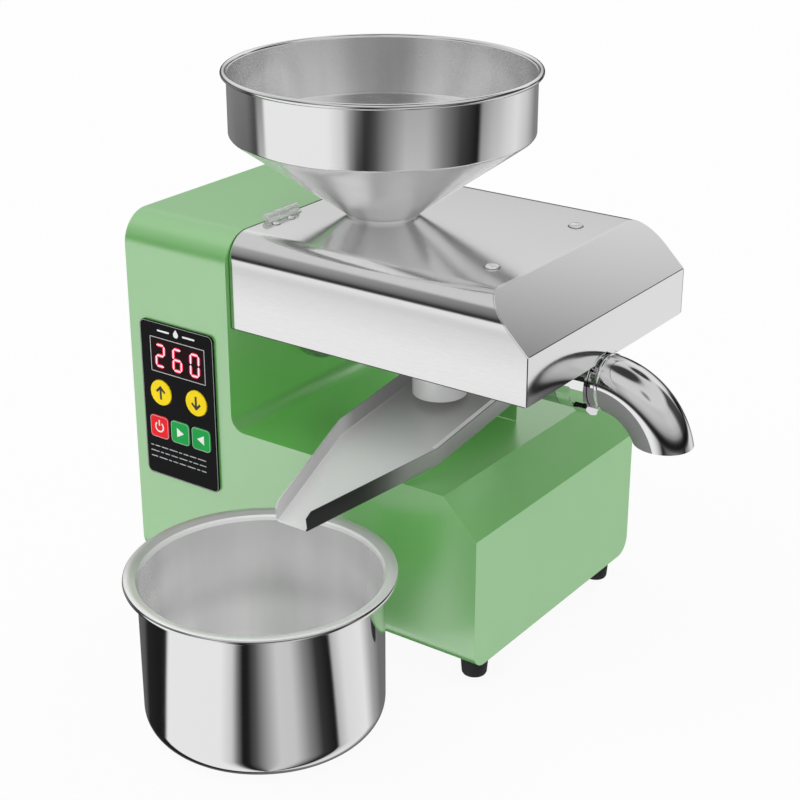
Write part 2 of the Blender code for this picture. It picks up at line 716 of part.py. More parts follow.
OUTPUT = Vector((AXIS_Y, AXIS_Z))
FAST_REACH = MODULE_FAST * (PINION_TEETH + WHEEL_TEETH) / 2
SLOW_REACH = MODULE_SLOW * (PINION_TEETH + OUTPUT_TEETH) / 2
SECOND = OUTPUT + Vector((TRAIN_OFFSET, -math.sqrt(SLOW_REACH ** 2 - TRAIN_OFFSET ** 2)))
MOTOR_AT = Vector((AXIS_Y, MOTOR_Z))
FIRST = meeting(SECOND, FAST_REACH, MOTOR_AT, FAST_REACH)

BOX_A = COLUMN_WIDTH - SHEET - GAP - PLATE_A_THICK      # inner face of the front plate
BOX_B = BOX_A - BOX_WIDTH                               # inner face of the rear plate
FAST_X = BOX_A - FACE_STEP - FAST_FACE                  # first wheel and the motor's pinion
MID_X = FAST_X - FACE_STEP - MID_FACE                   # second wheel
SLOW_X = MID_X - FACE_STEP - SLOW_FACE                  # output gear


def heading(start, end):
    way = Vector(end) - Vector(start)
    return math.atan2(way.y, way.x)


def gear_loop(teeth, module, phase):
    """Involute teeth round the origin, with a tooth's middle at the phase angle."""
    pitch = teeth * module / 2
    base = pitch * math.cos(PRESSURE_ANGLE)
    tip = pitch + ADDENDUM * module
    root = pitch - DEDENDUM * module
    start = max(base, root + 0.15 * module)
    half = math.pi / (2 * teeth) - BACKLASH * module / (2 * pitch)
    full = half + math.tan(PRESSURE_ANGLE) - PRESSURE_ANGLE

    def half_width(radius):
        lean = math.acos(min(1.0, base / radius))
        return full - (math.tan(lean) - lean)

    flank = [(root, half_width(start)), (start, half_width(start)), (tip, half_width(tip))]
    if teeth > PINION_TEETH:
        flank.pop(1)
    points = []
    for tooth in range(teeth):
        middle = phase + 2 * math.pi * tooth / teeth
        for radius, width in flank:
            points.append((radius * math.cos(middle - width), radius * math.sin(middle - width)))
        for radius, width in reversed(flank):
            points.append((radius * math.cos(middle + width), radius * math.sin(middle + width)))
    return points


def gear(name, teeth, module, phase, bore, low, high, place, as_part=False):
    hole = circle(0, 0, bore, 16)
    return extruded(name, [gear_loop(teeth, module, phase), hole], "YZ", low, high, as_part, place)


def make_train():
    turn_motor = empty("motor_spin", (FAST_X, *MOTOR_AT), machine)
    turn_first = empty("first_gear_spin", (FAST_X, *FIRST), machine)
    turn_second = empty("second_gear_spin", (MID_X, *SECOND), machine)

    motor_face = COLUMN_WIDTH - SHEET
    pinion = extruded("motor_pinion", [gear_loop(PINION_TEETH, MODULE_FAST, heading(MOTOR_AT, FIRST))], "YZ",
                      FAST_X - FACE_STEP / 2, FAST_X + FAST_FACE, True, MOTOR_AT)
    join(pinion, rod("motor_shaft", (FAST_X, *MOTOR_AT), motor_face + 0.012 - FAST_X, MOTOR_SHAFT_RADIUS, steps=12))
    finish(pinion, "gear_steel", turn_motor)

    bore = ARBOR_RADIUS + RUN
    first = gear("gear_cluster_1", WHEEL_TEETH, MODULE_FAST, heading(FIRST, MOTOR_AT) + math.pi / WHEEL_TEETH,
                 bore, FAST_X, FAST_X + FAST_FACE, FIRST, True)
    join(first, gear("first_pinion", PINION_TEETH, MODULE_FAST, heading(FIRST, SECOND), bore,
                     MID_X - FACE_STEP / 3, FAST_X + FACE_STEP / 2, FIRST))
    finish(first, "gear_steel", turn_first)

    second = gear("gear_cluster_2", WHEEL_TEETH, MODULE_FAST, heading(SECOND, FIRST) + math.pi / WHEEL_TEETH,
                  bore, MID_X, MID_X + MID_FACE, SECOND, True)
    join(second, gear("second_pinion", PINION_TEETH, MODULE_SLOW, heading(SECOND, OUTPUT), bore,
                      SLOW_X - FACE_STEP / 3, MID_X + FACE_STEP / 2, SECOND))
    finish(second, "gear_steel", turn_second)

    for k, place in enumerate((FIRST, SECOND)):
        low = BOX_B - PLATE_B_THICK + OVER
        finish(rod(f"arbor_{k + 1}", (low, *place), BOX_A + PLATE_A_THICK - OVER / 2 - low, ARBOR_RADIUS,
                   steps=16, as_part=True), "satin_steel")


def box_outline():
    """The gearbox plates' outline, worked out from the gears between them."""
    wheel = MODULE_FAST * WHEEL_TEETH / 2
    output = MODULE_SLOW * OUTPUT_TEETH / 2
    left = min(FIRST.x - wheel, OUTPUT.x - output) - BOX_MARGIN / 3
    right = max(SECOND.x + wheel, OUTPUT.x + output) + BOX_MARGIN / 3
    low = MOTOR_AT.y - MOTOR_RADIUS + OVER
    high = OUTPUT.y + output + BOX_MARGIN / 2
    return left, right, low, high


def make_gearbox():
    left, right, low, high = box_outline()
    outline = rectangle((left + right) / 2, (low + high) / 2, right - left, high - low, 0.006)
    arbors = [circle(*place, ARBOR_RADIUS + GAP, 16) for place in (FIRST, SECOND)]
    front_hole = circle(*OUTPUT, SHAFT_RADIUS + RUN + BEARING_WALL + GAP)
    rear_hole = circle(*OUTPUT, SHAFT_REAR_RADIUS + RUN + BEARING_WALL + GAP)
    motor_hole = circle(*MOTOR_AT, MOTOR_BOSS_RADIUS + GAP)
    finish(extruded("gearbox_plate_front", [outline, front_hole, motor_hole] + arbors, "YZ",
                    BOX_A, BOX_A + PLATE_A_THICK, True), "satin_steel")
    finish(extruded("gearbox_plate_rear", [outline, rear_hole] + arbors, "YZ",
                    BOX_B - PLATE_B_THICK, BOX_B, True), "satin_steel")
    inset_by = PILLAR_INSET
    places = [(left + inset_by, low + inset_by), (right - inset_by, low + inset_by),
              (left + inset_by, high - inset_by), (right - inset_by, high - inset_by)]
    for k, place in enumerate(places):
        finish(rod(f"gearbox_pillar_{k + 1}", (BOX_B + GAP, *place), BOX_WIDTH - 2 * GAP, PILLAR_RADIUS,
                   steps=12, as_part=True), "satin_steel")
    for name, radius, start, length in (
            ("shaft_bearing_front", SHAFT_RADIUS, BOX_A, PLATE_A_THICK),
            ("shaft_bearing_rear", SHAFT_REAR_RADIUS, BOX_B - PLATE_B_THICK, PLATE_B_THICK)):
        ring = tube_profile(radius + RUN, radius + RUN + BEARING_WALL, 0, length)
        finish(turned(name, ring, (start, *OUTPUT), "X", 16, closed=True, as_part=True), "bronze")

    face = COLUMN_WIDTH - SHEET
    shaft_well = [(0, 0.014), (MOTOR_SHAFT_RADIUS + RUN, 0.014), (MOTOR_SHAFT_RADIUS + RUN, -PLATE_A_THICK),
                  (MOTOR_BOSS_RADIUS, -PLATE_A_THICK), (MOTOR_BOSS_RADIUS, 0), (MOTOR_RADIUS - 0.002, 0),
                  (MOTOR_RADIUS, 0.002), (MOTOR_RADIUS, 0.020), (MOTOR_RADIUS - 0.0015, 0.020),
                  (MOTOR_RADIUS - 0.0015, MOTOR_LENGTH - 0.003), (MOTOR_RADIUS - 0.0045, MOTOR_LENGTH),
                  (MOTOR_BOSS_RADIUS, MOTOR_LENGTH), (MOTOR_BOSS_RADIUS, MOTOR_LENGTH + 0.006),
                  (0, MOTOR_LENGTH + 0.006)]
    shaft_well.reverse()
    finish(turned("drive_motor", shaft_well, (face, *MOTOR_AT), "X", 18, as_part=True), "motor_enamel")


def make_shaft(turn_screw):
    """The driven shaft with its gear and hexagonal socket."""
    screw_start = COLUMN_WIDTH + GAP + FLANGE_THICK + 0.016
    start = BOX_B - PLATE_B_THICK - OVER
    step_x = SLOW_X - FACE_STEP
    profile = [(0, screw_start), (SHAFT_RADIUS, screw_start), (SHAFT_RADIUS, step_x),
               (SHAFT_REAR_RADIUS, step_x), (SHAFT_REAR_RADIUS, start), (0, start)]
    shaft = turned("output_shaft", profile, (0, *OUTPUT), "X", 16, as_part=True)
    socket = (HEX_SIZE / 2 + GAP) / math.cos(math.pi / 6)
    cut(shaft, rod("hex_socket", (screw_start - HEX_LENGTH - GAP, *OUTPUT), HEX_LENGTH + OVER, socket, steps=6))
    finish(shaft, "satin_steel", turn_screw)
    wheel = gear("output_gear", OUTPUT_TEETH, MODULE_SLOW, heading(OUTPUT, SECOND) + math.pi / OUTPUT_TEETH,
                 SHAFT_RADIUS + GAP, SLOW_X, SLOW_X + SLOW_FACE, OUTPUT, True)
    finish(wheel, "gear_steel", turn_screw)
    return screw_start


# Press

def make_screw(turn_screw, drive_x):
    """The press screw: a tapering core, a helical flight and a hexagonal drive."""
    start = drive_x + GAP
    end = BARREL_END - GAP
    core = turned("press_screw", [(0, end + SCREW_TIP), (SCREW_TIP_RADIUS, end + SCREW_TIP),
                                  (SCREW_ROOT_END, end), (SCREW_ROOT_END, end - FLIGHT_PITCH),
                                  (SCREW_ROOT_START, DRAIN_X - DRAIN_RADIUS * 2), (SCREW_ROOT_START, start + 0.003),
                                  (SHAFT_RADIUS, start + 0.0025), (SHAFT_RADIUS, start), (0, start)],
                  (0, *OUTPUT), "X", 12, as_part=True)
    inner = SCREW_ROOT_START - 0.002
    outer = BORE_RADIUS - RUN
    root, crest = FLIGHT_THICK / 2, FLIGHT_CREST / 2
    profile = [(inner, root), (outer, crest), (outer, -crest), (inner, -root)]
    helix = turned("flight_helix", profile, (start + 0.004 + FLIGHT_THICK, *OUTPUT), "X", 12, closed=True)
    sweep = helix.modifiers["turn"]
    sweep.screw_offset = FLIGHT_PITCH
    sweep.iterations = FLIGHT_TURNS
    flight = baked(helix, "screw_flight", False)
    close_ends(flight)
    join(core, flight)
    hexagon = (HEX_SIZE / 2) / math.cos(math.pi / 6)
    join(core, rod("hex_drive", (drive_x - HEX_LENGTH + GAP, *OUTPUT), HEX_LENGTH + OVER, hexagon, steps=6))
    finish(core, "gear_steel", turn_screw)


def close_ends(obj):
    """Fill the open ends of a swept shape."""
    bm = bmesh.new()
    bm.from_mesh(obj.data)
    bmesh.ops.holes_fill(bm, edges=[e for e in bm.edges if e.is_boundary], sides=0)
    bmesh.ops.recalc_face_normals(bm, faces=bm.faces)
    bm.to_mesh(obj.data)
    bm.free()


def make_barrel():
    start = COLUMN_WIDTH + GAP
    neck = BARREL_END - BARREL_NECK_LENGTH
    profile = [(BORE_RADIUS, BARREL_END), (BARREL_NECK_RADIUS, BARREL_END), (BARREL_NECK_RADIUS, neck),
               (BARREL_RADIUS, neck), (BARREL_RADIUS, start + FLANGE_THICK), (FLANGE_RADIUS, start + FLANGE_THICK),
               (FLANGE_RADIUS, start), (BORE_RADIUS, start)]
    barrel = turned("press_barrel", profile, (0, *OUTPUT), "X", closed=True, as_part=True)
    for k in range(4):
        angle = math.pi / 4 + k * math.pi / 2
        place = OUTPUT + Vector((math.cos(angle), math.sin(angle))) * FLANGE_BOLT_CIRCLE
        join(barrel, rod(f"flange_bolt_{k + 1}", (start + FLANGE_THICK / 2, *place),
                         FLANGE_THICK / 2 + FLANGE_BOLT_HEAD, FLANGE_BOLT_RADIUS, steps=6))
    join(barrel, rod("feed_throat", (HOPPER_X, AXIS_Y, AXIS_Z), THROAT_TOP - AXIS_Z, THROAT_RADIUS, "Z"))
    join(barrel, rod("drain_collar", (DRAIN_X, AXIS_Y, DRAIN_BOTTOM), AXIS_Z - DRAIN_BOTTOM, DRAIN_RADIUS, "Z"))
    cut(barrel, rod("bore", (start - OVER, *OUTPUT), BARREL_END - start + 2 * OVER, BORE_RADIUS))
    cut(barrel, rod("feed_bore", (HOPPER_X, AXIS_Y, AXIS_Z), THROAT_TOP - AXIS_Z + OVER, FEED_RADIUS, "Z"))
    cut(barrel, rod("drain_bore", (DRAIN_X, AXIS_Y, DRAIN_BOTTOM - OVER),
                    AXIS_Z - BARREL_RADIUS - DRAIN_BOTTOM + OVER + 0.001, DRAIN_RADIUS - DRAIN_WALL, "Z"))
    for k in range(SLIT_COUNT):
        x = DRAIN_X + (k - (SLIT_COUNT - 1) / 2) * SLIT_PITCH
        cut(barrel, box(f"drain_slit_{k + 1}", (x - SLIT_WIDTH / 2, AXIS_Y - 0.0075, AXIS_Z - BARREL_RADIUS - OVER),
                        (x + SLIT_WIDTH / 2, AXIS_Y + 0.0075, AXIS_Z - BORE_RADIUS / 2)))
    finish(barrel, "cast_steel")

    low, high = BARREL_RADIUS + GAP, BARREL_RADIUS + GAP + HEATER_THICK
    band = turned("heater_band", tube_profile(low, high, 0, HEATER_LENGTH), (HEATER_START, *OUTPUT), "X",
                  closed=True, as_part=True)
    for side in (-1, 1):
        ear_y = sorted((AXIS_Y + side * 0.0012, AXIS_Y + side * 0.0032))
        join(band, box(f"heater_ear_{side}", (HEATER_START, ear_y[0], AXIS_Z + low + HEATER_THICK * 0.3),
                       (HEATER_START + HEATER_LENGTH, ear_y[1], AXIS_Z + high + HEATER_EAR)))
    cut(band, box("heater_slit", (HEATER_START - OVER, AXIS_Y - 0.0008, AXIS_Z + low - OVER),
                  (HEATER_START + HEATER_LENGTH + OVER, AXIS_Y + 0.0008, AXIS_Z + high + OVER)))
    join(band, rod("heater_clamp", (HEATER_START + HEATER_LENGTH / 2, AXIS_Y - 0.006, AXIS_Z + high + HEATER_EAR / 2),
                   0.012, 0.0016, "Y", steps=12))
    finish(band, "heater_mica")

    base = AXIS_Z + BARREL_RADIUS
    dip = 0.0025
    probe = turned("temperature_probe", [(0, PROBE_HEIGHT), (PROBE_RADIUS * 0.6, PROBE_HEIGHT),
                                         (PROBE_RADIUS * 0.6, 0.006), (PROBE_RADIUS * 1.4, 0.006),
                                         (PROBE_RADIUS * 1.4, GAP), (PROBE_RADIUS - GAP, GAP),
                                         (PROBE_RADIUS - GAP, -dip + GAP), (0, -dip + GAP)],
                   (PROBE_X, AXIS_Y, base), "Z", 12, as_part=True)
    finish(probe, "bronze")
    cut(barrel, rod("probe_well", (PROBE_X, AXIS_Y, base - dip), dip + OVER, PROBE_RADIUS, "Z", steps=12))


def make_outlet():
    """The slotted ring nut on the barrel's end and the elbow that leads the residue down."""
    nut_start = BARREL_END - BARREL_NECK_LENGTH + GAP
    nut_end = nut_start + NUT_LENGTH
    seat = BARREL_END + GAP
    turn_nut = empty("ring_nut_turn", (nut_start, *OUTPUT), machine)
    step = nut_start + NUT_SHOULDER
    profile = [(SPIGOT_RADIUS, nut_end + SPIGOT_LENGTH), (SPIGOT_RADIUS, nut_end), (NUT_RADIUS, nut_end),
               (NUT_RADIUS, step), (NUT_RADIUS - NUT_STEP, step), (NUT_RADIUS - NUT_STEP, nut_start),
               (BARREL_NECK_RADIUS + GAP, nut_start), (BARREL_NECK_RADIUS + GAP, seat), (OUTLET_RADIUS, seat),
               (OUTLET_RADIUS, nut_end + SPIGOT_LENGTH)]
    nut = turned("ring_nut", profile, (0, *OUTPUT), "X", closed=True, as_part=True)
    for k in range(NUT_SLOTS):
        slot = box(f"nut_slot_{k + 1}", (step - OVER, -NUT_SLOT_WIDTH / 2, NUT_RADIUS - NUT_SLOT_DEPTH),
                   (nut_end + OVER / 4, NUT_SLOT_WIDTH / 2, NUT_RADIUS + OVER))
        turn = 2 * math.pi * k / NUT_SLOTS
        slot.data.transform(Matrix.Rotation(turn, 4, "X") @ Matrix.Translation(slot.location))
        slot.location = (0, *OUTPUT)
        cut(nut, slot)
    finish(nut, "polished_steel", turn_nut)

    slide_elbow = empty("elbow_slide", (nut_end, *OUTPUT), machine)
    bend_x = HOOD_RIGHT + GAP
    start = nut_end + GAP

    def path(before, after):
        points = [(start - before, *OUTPUT), (bend_x, *OUTPUT)]
        for k in range(1, 10):
            angle = math.pi / 2 * k / 9
            points.append((bend_x + ELBOW_BEND * math.sin(angle), AXIS_Y, AXIS_Z - ELBOW_BEND * (1 - math.cos(angle))))
        return points + [(bend_x + ELBOW_BEND, AXIS_Y, AXIS_Z - ELBOW_BEND - after)]

    elbow = piped("residue_elbow", path(0, OVER / 2), ELBOW_RADIUS, True, 5)
    bead_start = HOOD_RIGHT + GAP * 1.5
    soft = BEAD_LENGTH * 0.3
    bead = [(0, BEAD_LENGTH), (BEAD_RADIUS - soft, BEAD_LENGTH), (BEAD_RADIUS, BEAD_LENGTH - soft),
            (BEAD_RADIUS, soft), (BEAD_RADIUS - soft, 0), (0, 0)]
    join(elbow, turned("elbow_bead", bead, (bead_start, *OUTPUT), "X"))
    cut(elbow, piped("elbow_bore", path(OVER, OVER), ELBOW_RADIUS - ELBOW_WALL, False, 5))
    far = bend_x + ELBOW_BEND + ELBOW_RADIUS + OVER
    side = ELBOW_RADIUS + OVER
    cut(elbow, box("elbow_end", (bend_x, AXIS_Y - side, AXIS_Z - ELBOW_BEND - side), (far, AXIS_Y + side, ELBOW_END)))
    finish(elbow, "polished_steel", slide_elbow)


# Hood and hopper

def hood_loop():
    top = BODY_HEIGHT
    return [(HOOD_LEFT, HOOD_BOTTOM), (HOOD_RIGHT, HOOD_BOTTOM), (HOOD_RIGHT, top - SLOPE_DROP),
            (HOOD_RIGHT - SLOPE_RUN, top), (HOOD_LEFT, top)]


def hood_section(amount):
    """The hood seen from its end, with its walls moved in by amount and its foot open."""
    bottom = HOOD_BOTTOM - (OVER if amount else 0)
    radius = HOOD_RADIUS - amount
    return rounded([(HOOD_INSET + amount, bottom, 0), (BODY_DEPTH - amount, bottom, 0),
                    (BODY_DEPTH - amount, BODY_HEIGHT - amount, radius),
                    (HOOD_INSET + amount, BODY_HEIGHT - amount, radius)], 6)


def make_hood(turn_hood):
    hood = extruded("hood", [hood_loop()], "XZ", HOOD_INSET, BODY_DEPTH, True)
    boolean(hood, extruded("hood_outer", [hood_section(0)], "YZ", HOOD_LEFT - OVER, HOOD_RIGHT + OVER), "INTERSECT")
    inner_loop = inset(hood_loop(), HOOD_SHEET)
    inner_loop = [(x if x > HOOD_LEFT + HOOD_SHEET * 1.5 else HOOD_LEFT - OVER,
                   z if z > HOOD_BOTTOM + HOOD_SHEET * 1.5 else HOOD_BOTTOM - OVER) for x, z in inner_loop]
    hollow = extruded("hood_hollow", [inner_loop], "XZ", 0, BODY_DEPTH + OVER)
    boolean(hollow, extruded("hood_inner", [hood_section(HOOD_SHEET)], "YZ", HOOD_LEFT - 2 * OVER,
                             HOOD_RIGHT + OVER), "INTERSECT")
    seat = cone_radius(BODY_HEIGHT) + GAP
    cut(hood, hollow, rod("hopper_hole", (HOPPER_X, AXIS_Y, BODY_HEIGHT - OVER), 2 * OVER, seat, "Z"),
        rod("outlet_notch", (HOOD_RIGHT - OVER, *OUTPUT), 2 * OVER, ELBOW_RADIUS + 0.0016))
    for k, side in enumerate((-1, 1)):
        middle = AXIS_Y + side * HINGE_SPREAD
        half = HINGE_WIDTH / 2 + GAP
        cut(hood, box(f"hinge_notch_{k + 1}", (HOOD_LEFT - OVER, middle - half, BODY_HEIGHT - OVER),
                      (HINGE_X + KNUCKLE_RADIUS + GAP, middle + half, BODY_HEIGHT + OVER)))
    finish(hood, "satin_steel", turn_hood)


def cone_radius(height):
    """The hopper cone's outer radius at a height."""
    low, high = BODY_HEIGHT + SEAT_RISE, HOPPER_TOP - HOPPER_STRAIGHT
    share = (height - low) / (high - low)
    return max(NECK_RADIUS + 0.0002, NECK_RADIUS + 0.0006 + share * (HOPPER_RADIUS - NECK_RADIUS))


def make_hopper(lift_hopper):
    wall = HOPPER_WALL
    low, high = BODY_HEIGHT + SEAT_RISE, HOPPER_TOP - HOPPER_STRAIGHT
    bottom = THROAT_TOP + GAP
    lip_r, lip_z = HOPPER_RADIUS + HOPPER_LIP, HOPPER_TOP - HOPPER_LIP
    lip = [(lip_r + HOPPER_LIP * math.cos(a), lip_z + HOPPER_LIP * math.sin(a))
           for a in [math.radians(d) for d in (150, 90, 40, -10, -60, -120)]]
    outer = [(HOPPER_RADIUS, high), (HOPPER_RADIUS - 0.0008, high - 0.0012), (NECK_RADIUS + 0.0006, low),
             (NECK_RADIUS, low - 0.0030), (NECK_RADIUS, bottom)]
    inner = [(NECK_RADIUS - wall, bottom), (NECK_RADIUS - wall, low), (HOPPER_RADIUS - 0.0016, high),
             (HOPPER_RADIUS - wall, high + 0.001)]
    hopper = turned("hopper", lip + outer + inner, (HOPPER_X, AXIS_Y, 0), "Z", FINE_STEPS, closed=True, as_part=True)
    finish(hopper, "polished_steel", lift_hopper)


def rivet_y(way, side):
    return AXIS_Y + way * (HINGE_SPREAD + RIVET_SHIFT) + side * RIVET_SPREAD


def make_hinges(turn_hood):
    axis_z = BODY_HEIGHT + HINGE_RISE
    third = HINGE_WIDTH / 3
    leaf_top = BODY_HEIGHT - HOOD_SHEET - GAP
    for k, way in enumerate((-1, 1)):
        tag = k + 1
        middle = AXIS_Y + way * HINGE_SPREAD
        start = middle - HINGE_WIDTH / 2
        leaf_start = start - (LEAF_TAIL if way < 0 else 0)
        leaf_end = start + HINGE_WIDTH + (LEAF_TAIL if way > 0 else 0)
        wall_x = HOOD_LEFT
        fixed = box(f"hinge_leaf_fixed_{tag}", (wall_x, start, BODY_HEIGHT - LEAF_DROP),
                    (wall_x + LEAF, start + HINGE_WIDTH, axis_z - HINGE_PIN_RADIUS), True)
        cut(fixed, box(f"fixed_gap_{tag}", (wall_x - OVER, start + third - GAP, BODY_HEIGHT - 0.006),
                       (wall_x + LEAF + OVER, start + 2 * third + GAP, axis_z + OVER)))
        for end in (0, 2):
            join(fixed, rod(f"fixed_knuckle_{tag}_{end}", (HINGE_X, start + end * third, axis_z),
                            third - (0 if end else GAP), KNUCKLE_RADIUS, "Y", steps=SMALL_STEPS))
        pin_hole = rod(f"hinge_bore_{tag}", (HINGE_X, start - OVER, axis_z), HINGE_WIDTH + 2 * OVER,
                       HINGE_PIN_RADIUS + GAP, "Y", steps=8)
        cut(fixed, pin_hole)
        finish(fixed, "satin_steel")

        strap_x = HINGE_X + KNUCKLE_RADIUS - LEAF
        moving = box(f"hinge_leaf_moving_{tag}", (strap_x, leaf_start, leaf_top - LEAF),
                     (HOOD_LEFT + LEAF_REACH, leaf_end, leaf_top), True)
        strap = box(f"moving_strap_{tag}", (strap_x, start + third + GAP, leaf_top - LEAF),
                    (strap_x + LEAF, start + 2 * third - GAP, axis_z))
        knuckle = rod(f"moving_knuckle_{tag}", (HINGE_X, start + third + GAP, axis_z), third - 2 * GAP,
                      KNUCKLE_RADIUS, "Y", steps=SMALL_STEPS)
        join(moving, strap, knuckle)
        cut(moving, pin_hole)
        for side in (-1, 1):
            cut(moving, rod(f"rivet_hole_{tag}_{side}",
                            (COLUMN_WIDTH + RIVET_X, rivet_y(way, side), leaf_top - OVER),
                            2 * OVER, RIVET_RADIUS * 0.5 + GAP, "Z", steps=8))
        finish(moving, "satin_steel", turn_hood)

        pin = [(0, HINGE_WIDTH + 0.0008), (HINGE_PIN_RADIUS * 1.5, HINGE_WIDTH + 0.0008),
               (HINGE_PIN_RADIUS * 1.5, HINGE_WIDTH + GAP), (HINGE_PIN_RADIUS, HINGE_WIDTH + GAP),
               (HINGE_PIN_RADIUS, -GAP), (HINGE_PIN_RADIUS * 1.5, -GAP), (HINGE_PIN_RADIUS * 1.5, -0.0008),
               (0, -0.0008)]
        finish(turned(f"hinge_pin_{tag}", pin, (HINGE_X, start, axis_z), "Y", 8, as_part=True), "satin_steel")


def make_hood_fasteners(turn_hood):
    """The rivets of the hinges, and the two screws with the saddle that they hold."""
    hood = bpy.data.objects["hood"]
    top = BODY_HEIGHT
    under = HOOD_SHEET + LEAF + 2 * GAP
    number = 0
    for way in (-1, 1):
        for side in (-1, 1):
            number += 1
            place = (COLUMN_WIDTH + RIVET_X, rivet_y(way, side), top)
            head = [(0, 0.0011), (RIVET_RADIUS * 0.55, 0.0009), (RIVET_RADIUS, GAP), (RIVET_RADIUS * 0.5, GAP),
                    (RIVET_RADIUS * 0.5, -under), (RIVET_RADIUS * 0.9, -under), (RIVET_RADIUS * 0.9, -under - 0.0006),
                    (0, -under - 0.0006)]
            finish(turned(f"hinge_rivet_{number}", head, place, "Z", 8, as_part=True), "satin_steel", turn_hood)
            cut(hood, rod(f"hood_rivet_hole_{number}", (place[0], place[1], top - OVER), 2 * OVER,
                          RIVET_RADIUS * 0.5 + GAP, "Z", steps=8))

    leg_x = HOOD_SCREW_X + SADDLE_FLANGE / 2
    leaf_top = top - HOOD_SHEET - GAP
    half = HOOD_SCREW_SPREAD + SADDLE_EDGE
    rest = BARREL_RADIUS + GAP
    foot = AXIS_Z + BARREL_RADIUS * 0.25
    start = math.asin((foot - AXIS_Z) / rest)
    angles = [math.pi - start - k * (math.pi - 2 * start) / 14 for k in range(15)]
    web = [(half, leaf_top, 0), (half, leaf_top - 0.014, 0.004), (rest + 0.012, foot, 0.003)]
    outline = rounded([(AXIS_Y - y, z, radius) for y, z, radius in web]
                      + [(AXIS_Y + rest * math.cos(a), AXIS_Z + rest * math.sin(a), 0) for a in angles]
                      + [(AXIS_Y + y, z, radius) for y, z, radius in reversed(web)], 3)
    saddle = extruded("hood_saddle", [outline], "YZ", leg_x, leg_x + SADDLE_THICK, True)
    flange = box("saddle_flange", (leg_x - SADDLE_FLANGE, AXIS_Y - half, leaf_top - SADDLE_THICK),
                 (leg_x + SADDLE_THICK / 2, AXIS_Y + half, leaf_top))
    join(saddle, flange)
    for k, side in enumerate((-1, 1)):
        place = (HOOD_SCREW_X, AXIS_Y + side * HOOD_SCREW_SPREAD, top)
        hole = rod(f"screw_hole_{k + 1}", (place[0], place[1], top - 0.006), 0.008, HOOD_SCREW_RADIUS * 0.45 + GAP,
                   "Z", steps=SMALL_STEPS)
        cut(saddle, hole)
        cut(hood, hole)
        shank = HOOD_SCREW_RADIUS * 0.45
        profile = [(0, 0.0016), (HOOD_SCREW_RADIUS * 0.6, 0.0015), (HOOD_SCREW_RADIUS * 0.9, 0.0010),
                   (HOOD_SCREW_RADIUS, GAP), (shank, GAP), (shank, -0.0052), (0, -0.0052)]
        screw = turned(f"hood_screw_{k + 1}", profile, place, "Z", 12, as_part=True)
        cut(screw, box(f"screw_slot_{k + 1}", (place[0] - OVER * 3, place[1] - 0.0004, top + 0.0008),
                       (place[0] + OVER * 3, place[1] + 0.0004, top + 0.003)))
        finish(screw, "satin_steel", turn_hood)
    finish(saddle, "satin_steel", turn_hood)


# Chute and pan

def make_chute(slide_chute):
    """A folded sheet trough with a leg at its back, resting on the deck."""
    deck = DECK_HEIGHT + GAP + CHUTE_SHEET * 1.06

    def floor(y):
        return deck + CHUTE_SLOPE * y

    up = Vector((0, -CHUTE_SLOPE, 1)).normalized() * CHUTE_WALL
    share = CHUTE_SNIP / (CHUTE_KINK_Y - CHUTE_TIP_Y)
    snip_half = CHUTE_HALF_TIP + share * (CHUTE_HALF_WIDE - CHUTE_HALF_TIP)
    bm = bmesh.new()
    rows = []
    for y, half, height in ((CHUTE_BACK_Y, CHUTE_HALF_WIDE, 1), (CHUTE_KINK_Y, CHUTE_HALF_WIDE, 1),
                            (CHUTE_TIP_Y + CHUTE_SNIP, snip_half, 1),
                            (CHUTE_TIP_Y, CHUTE_HALF_TIP, 1 - CHUTE_SNIP_SHARE)):
        base = [Vector((CHUTE_X - half, y, floor(y))), Vector((CHUTE_X + half, y, floor(y)))]
        rows.append([bm.verts.new(p) for p in (base[0] + up * height, base[0], base[1], base[1] + up * height)])
    for first, second in zip(rows, rows[1:]):
        for k in range(3):
            bm.faces.new((first[k], second[k], second[k + 1], first[k + 1]))
    low = DECK_HEIGHT + GAP
    leg = [bm.verts.new((v.co.x, CHUTE_BACK_Y, low)) for v in rows[0][1:3]]
    bm.faces.new((rows[0][1], rows[0][2], leg[1], leg[0]))
    bmesh.ops.recalc_face_normals(bm, faces=bm.faces)
    chute = from_bmesh("oil_chute", bm, True)
    shell = chute.modifiers.new("sheet", "SOLIDIFY")
    shell.thickness = CHUTE_SHEET
    shell.offset = 1.0 if chute.data.polygons[1].normal.z < 0 else -1.0
    shell.use_even_offset = True
    finish(chute, "satin_steel", slide_chute, smooth=0)


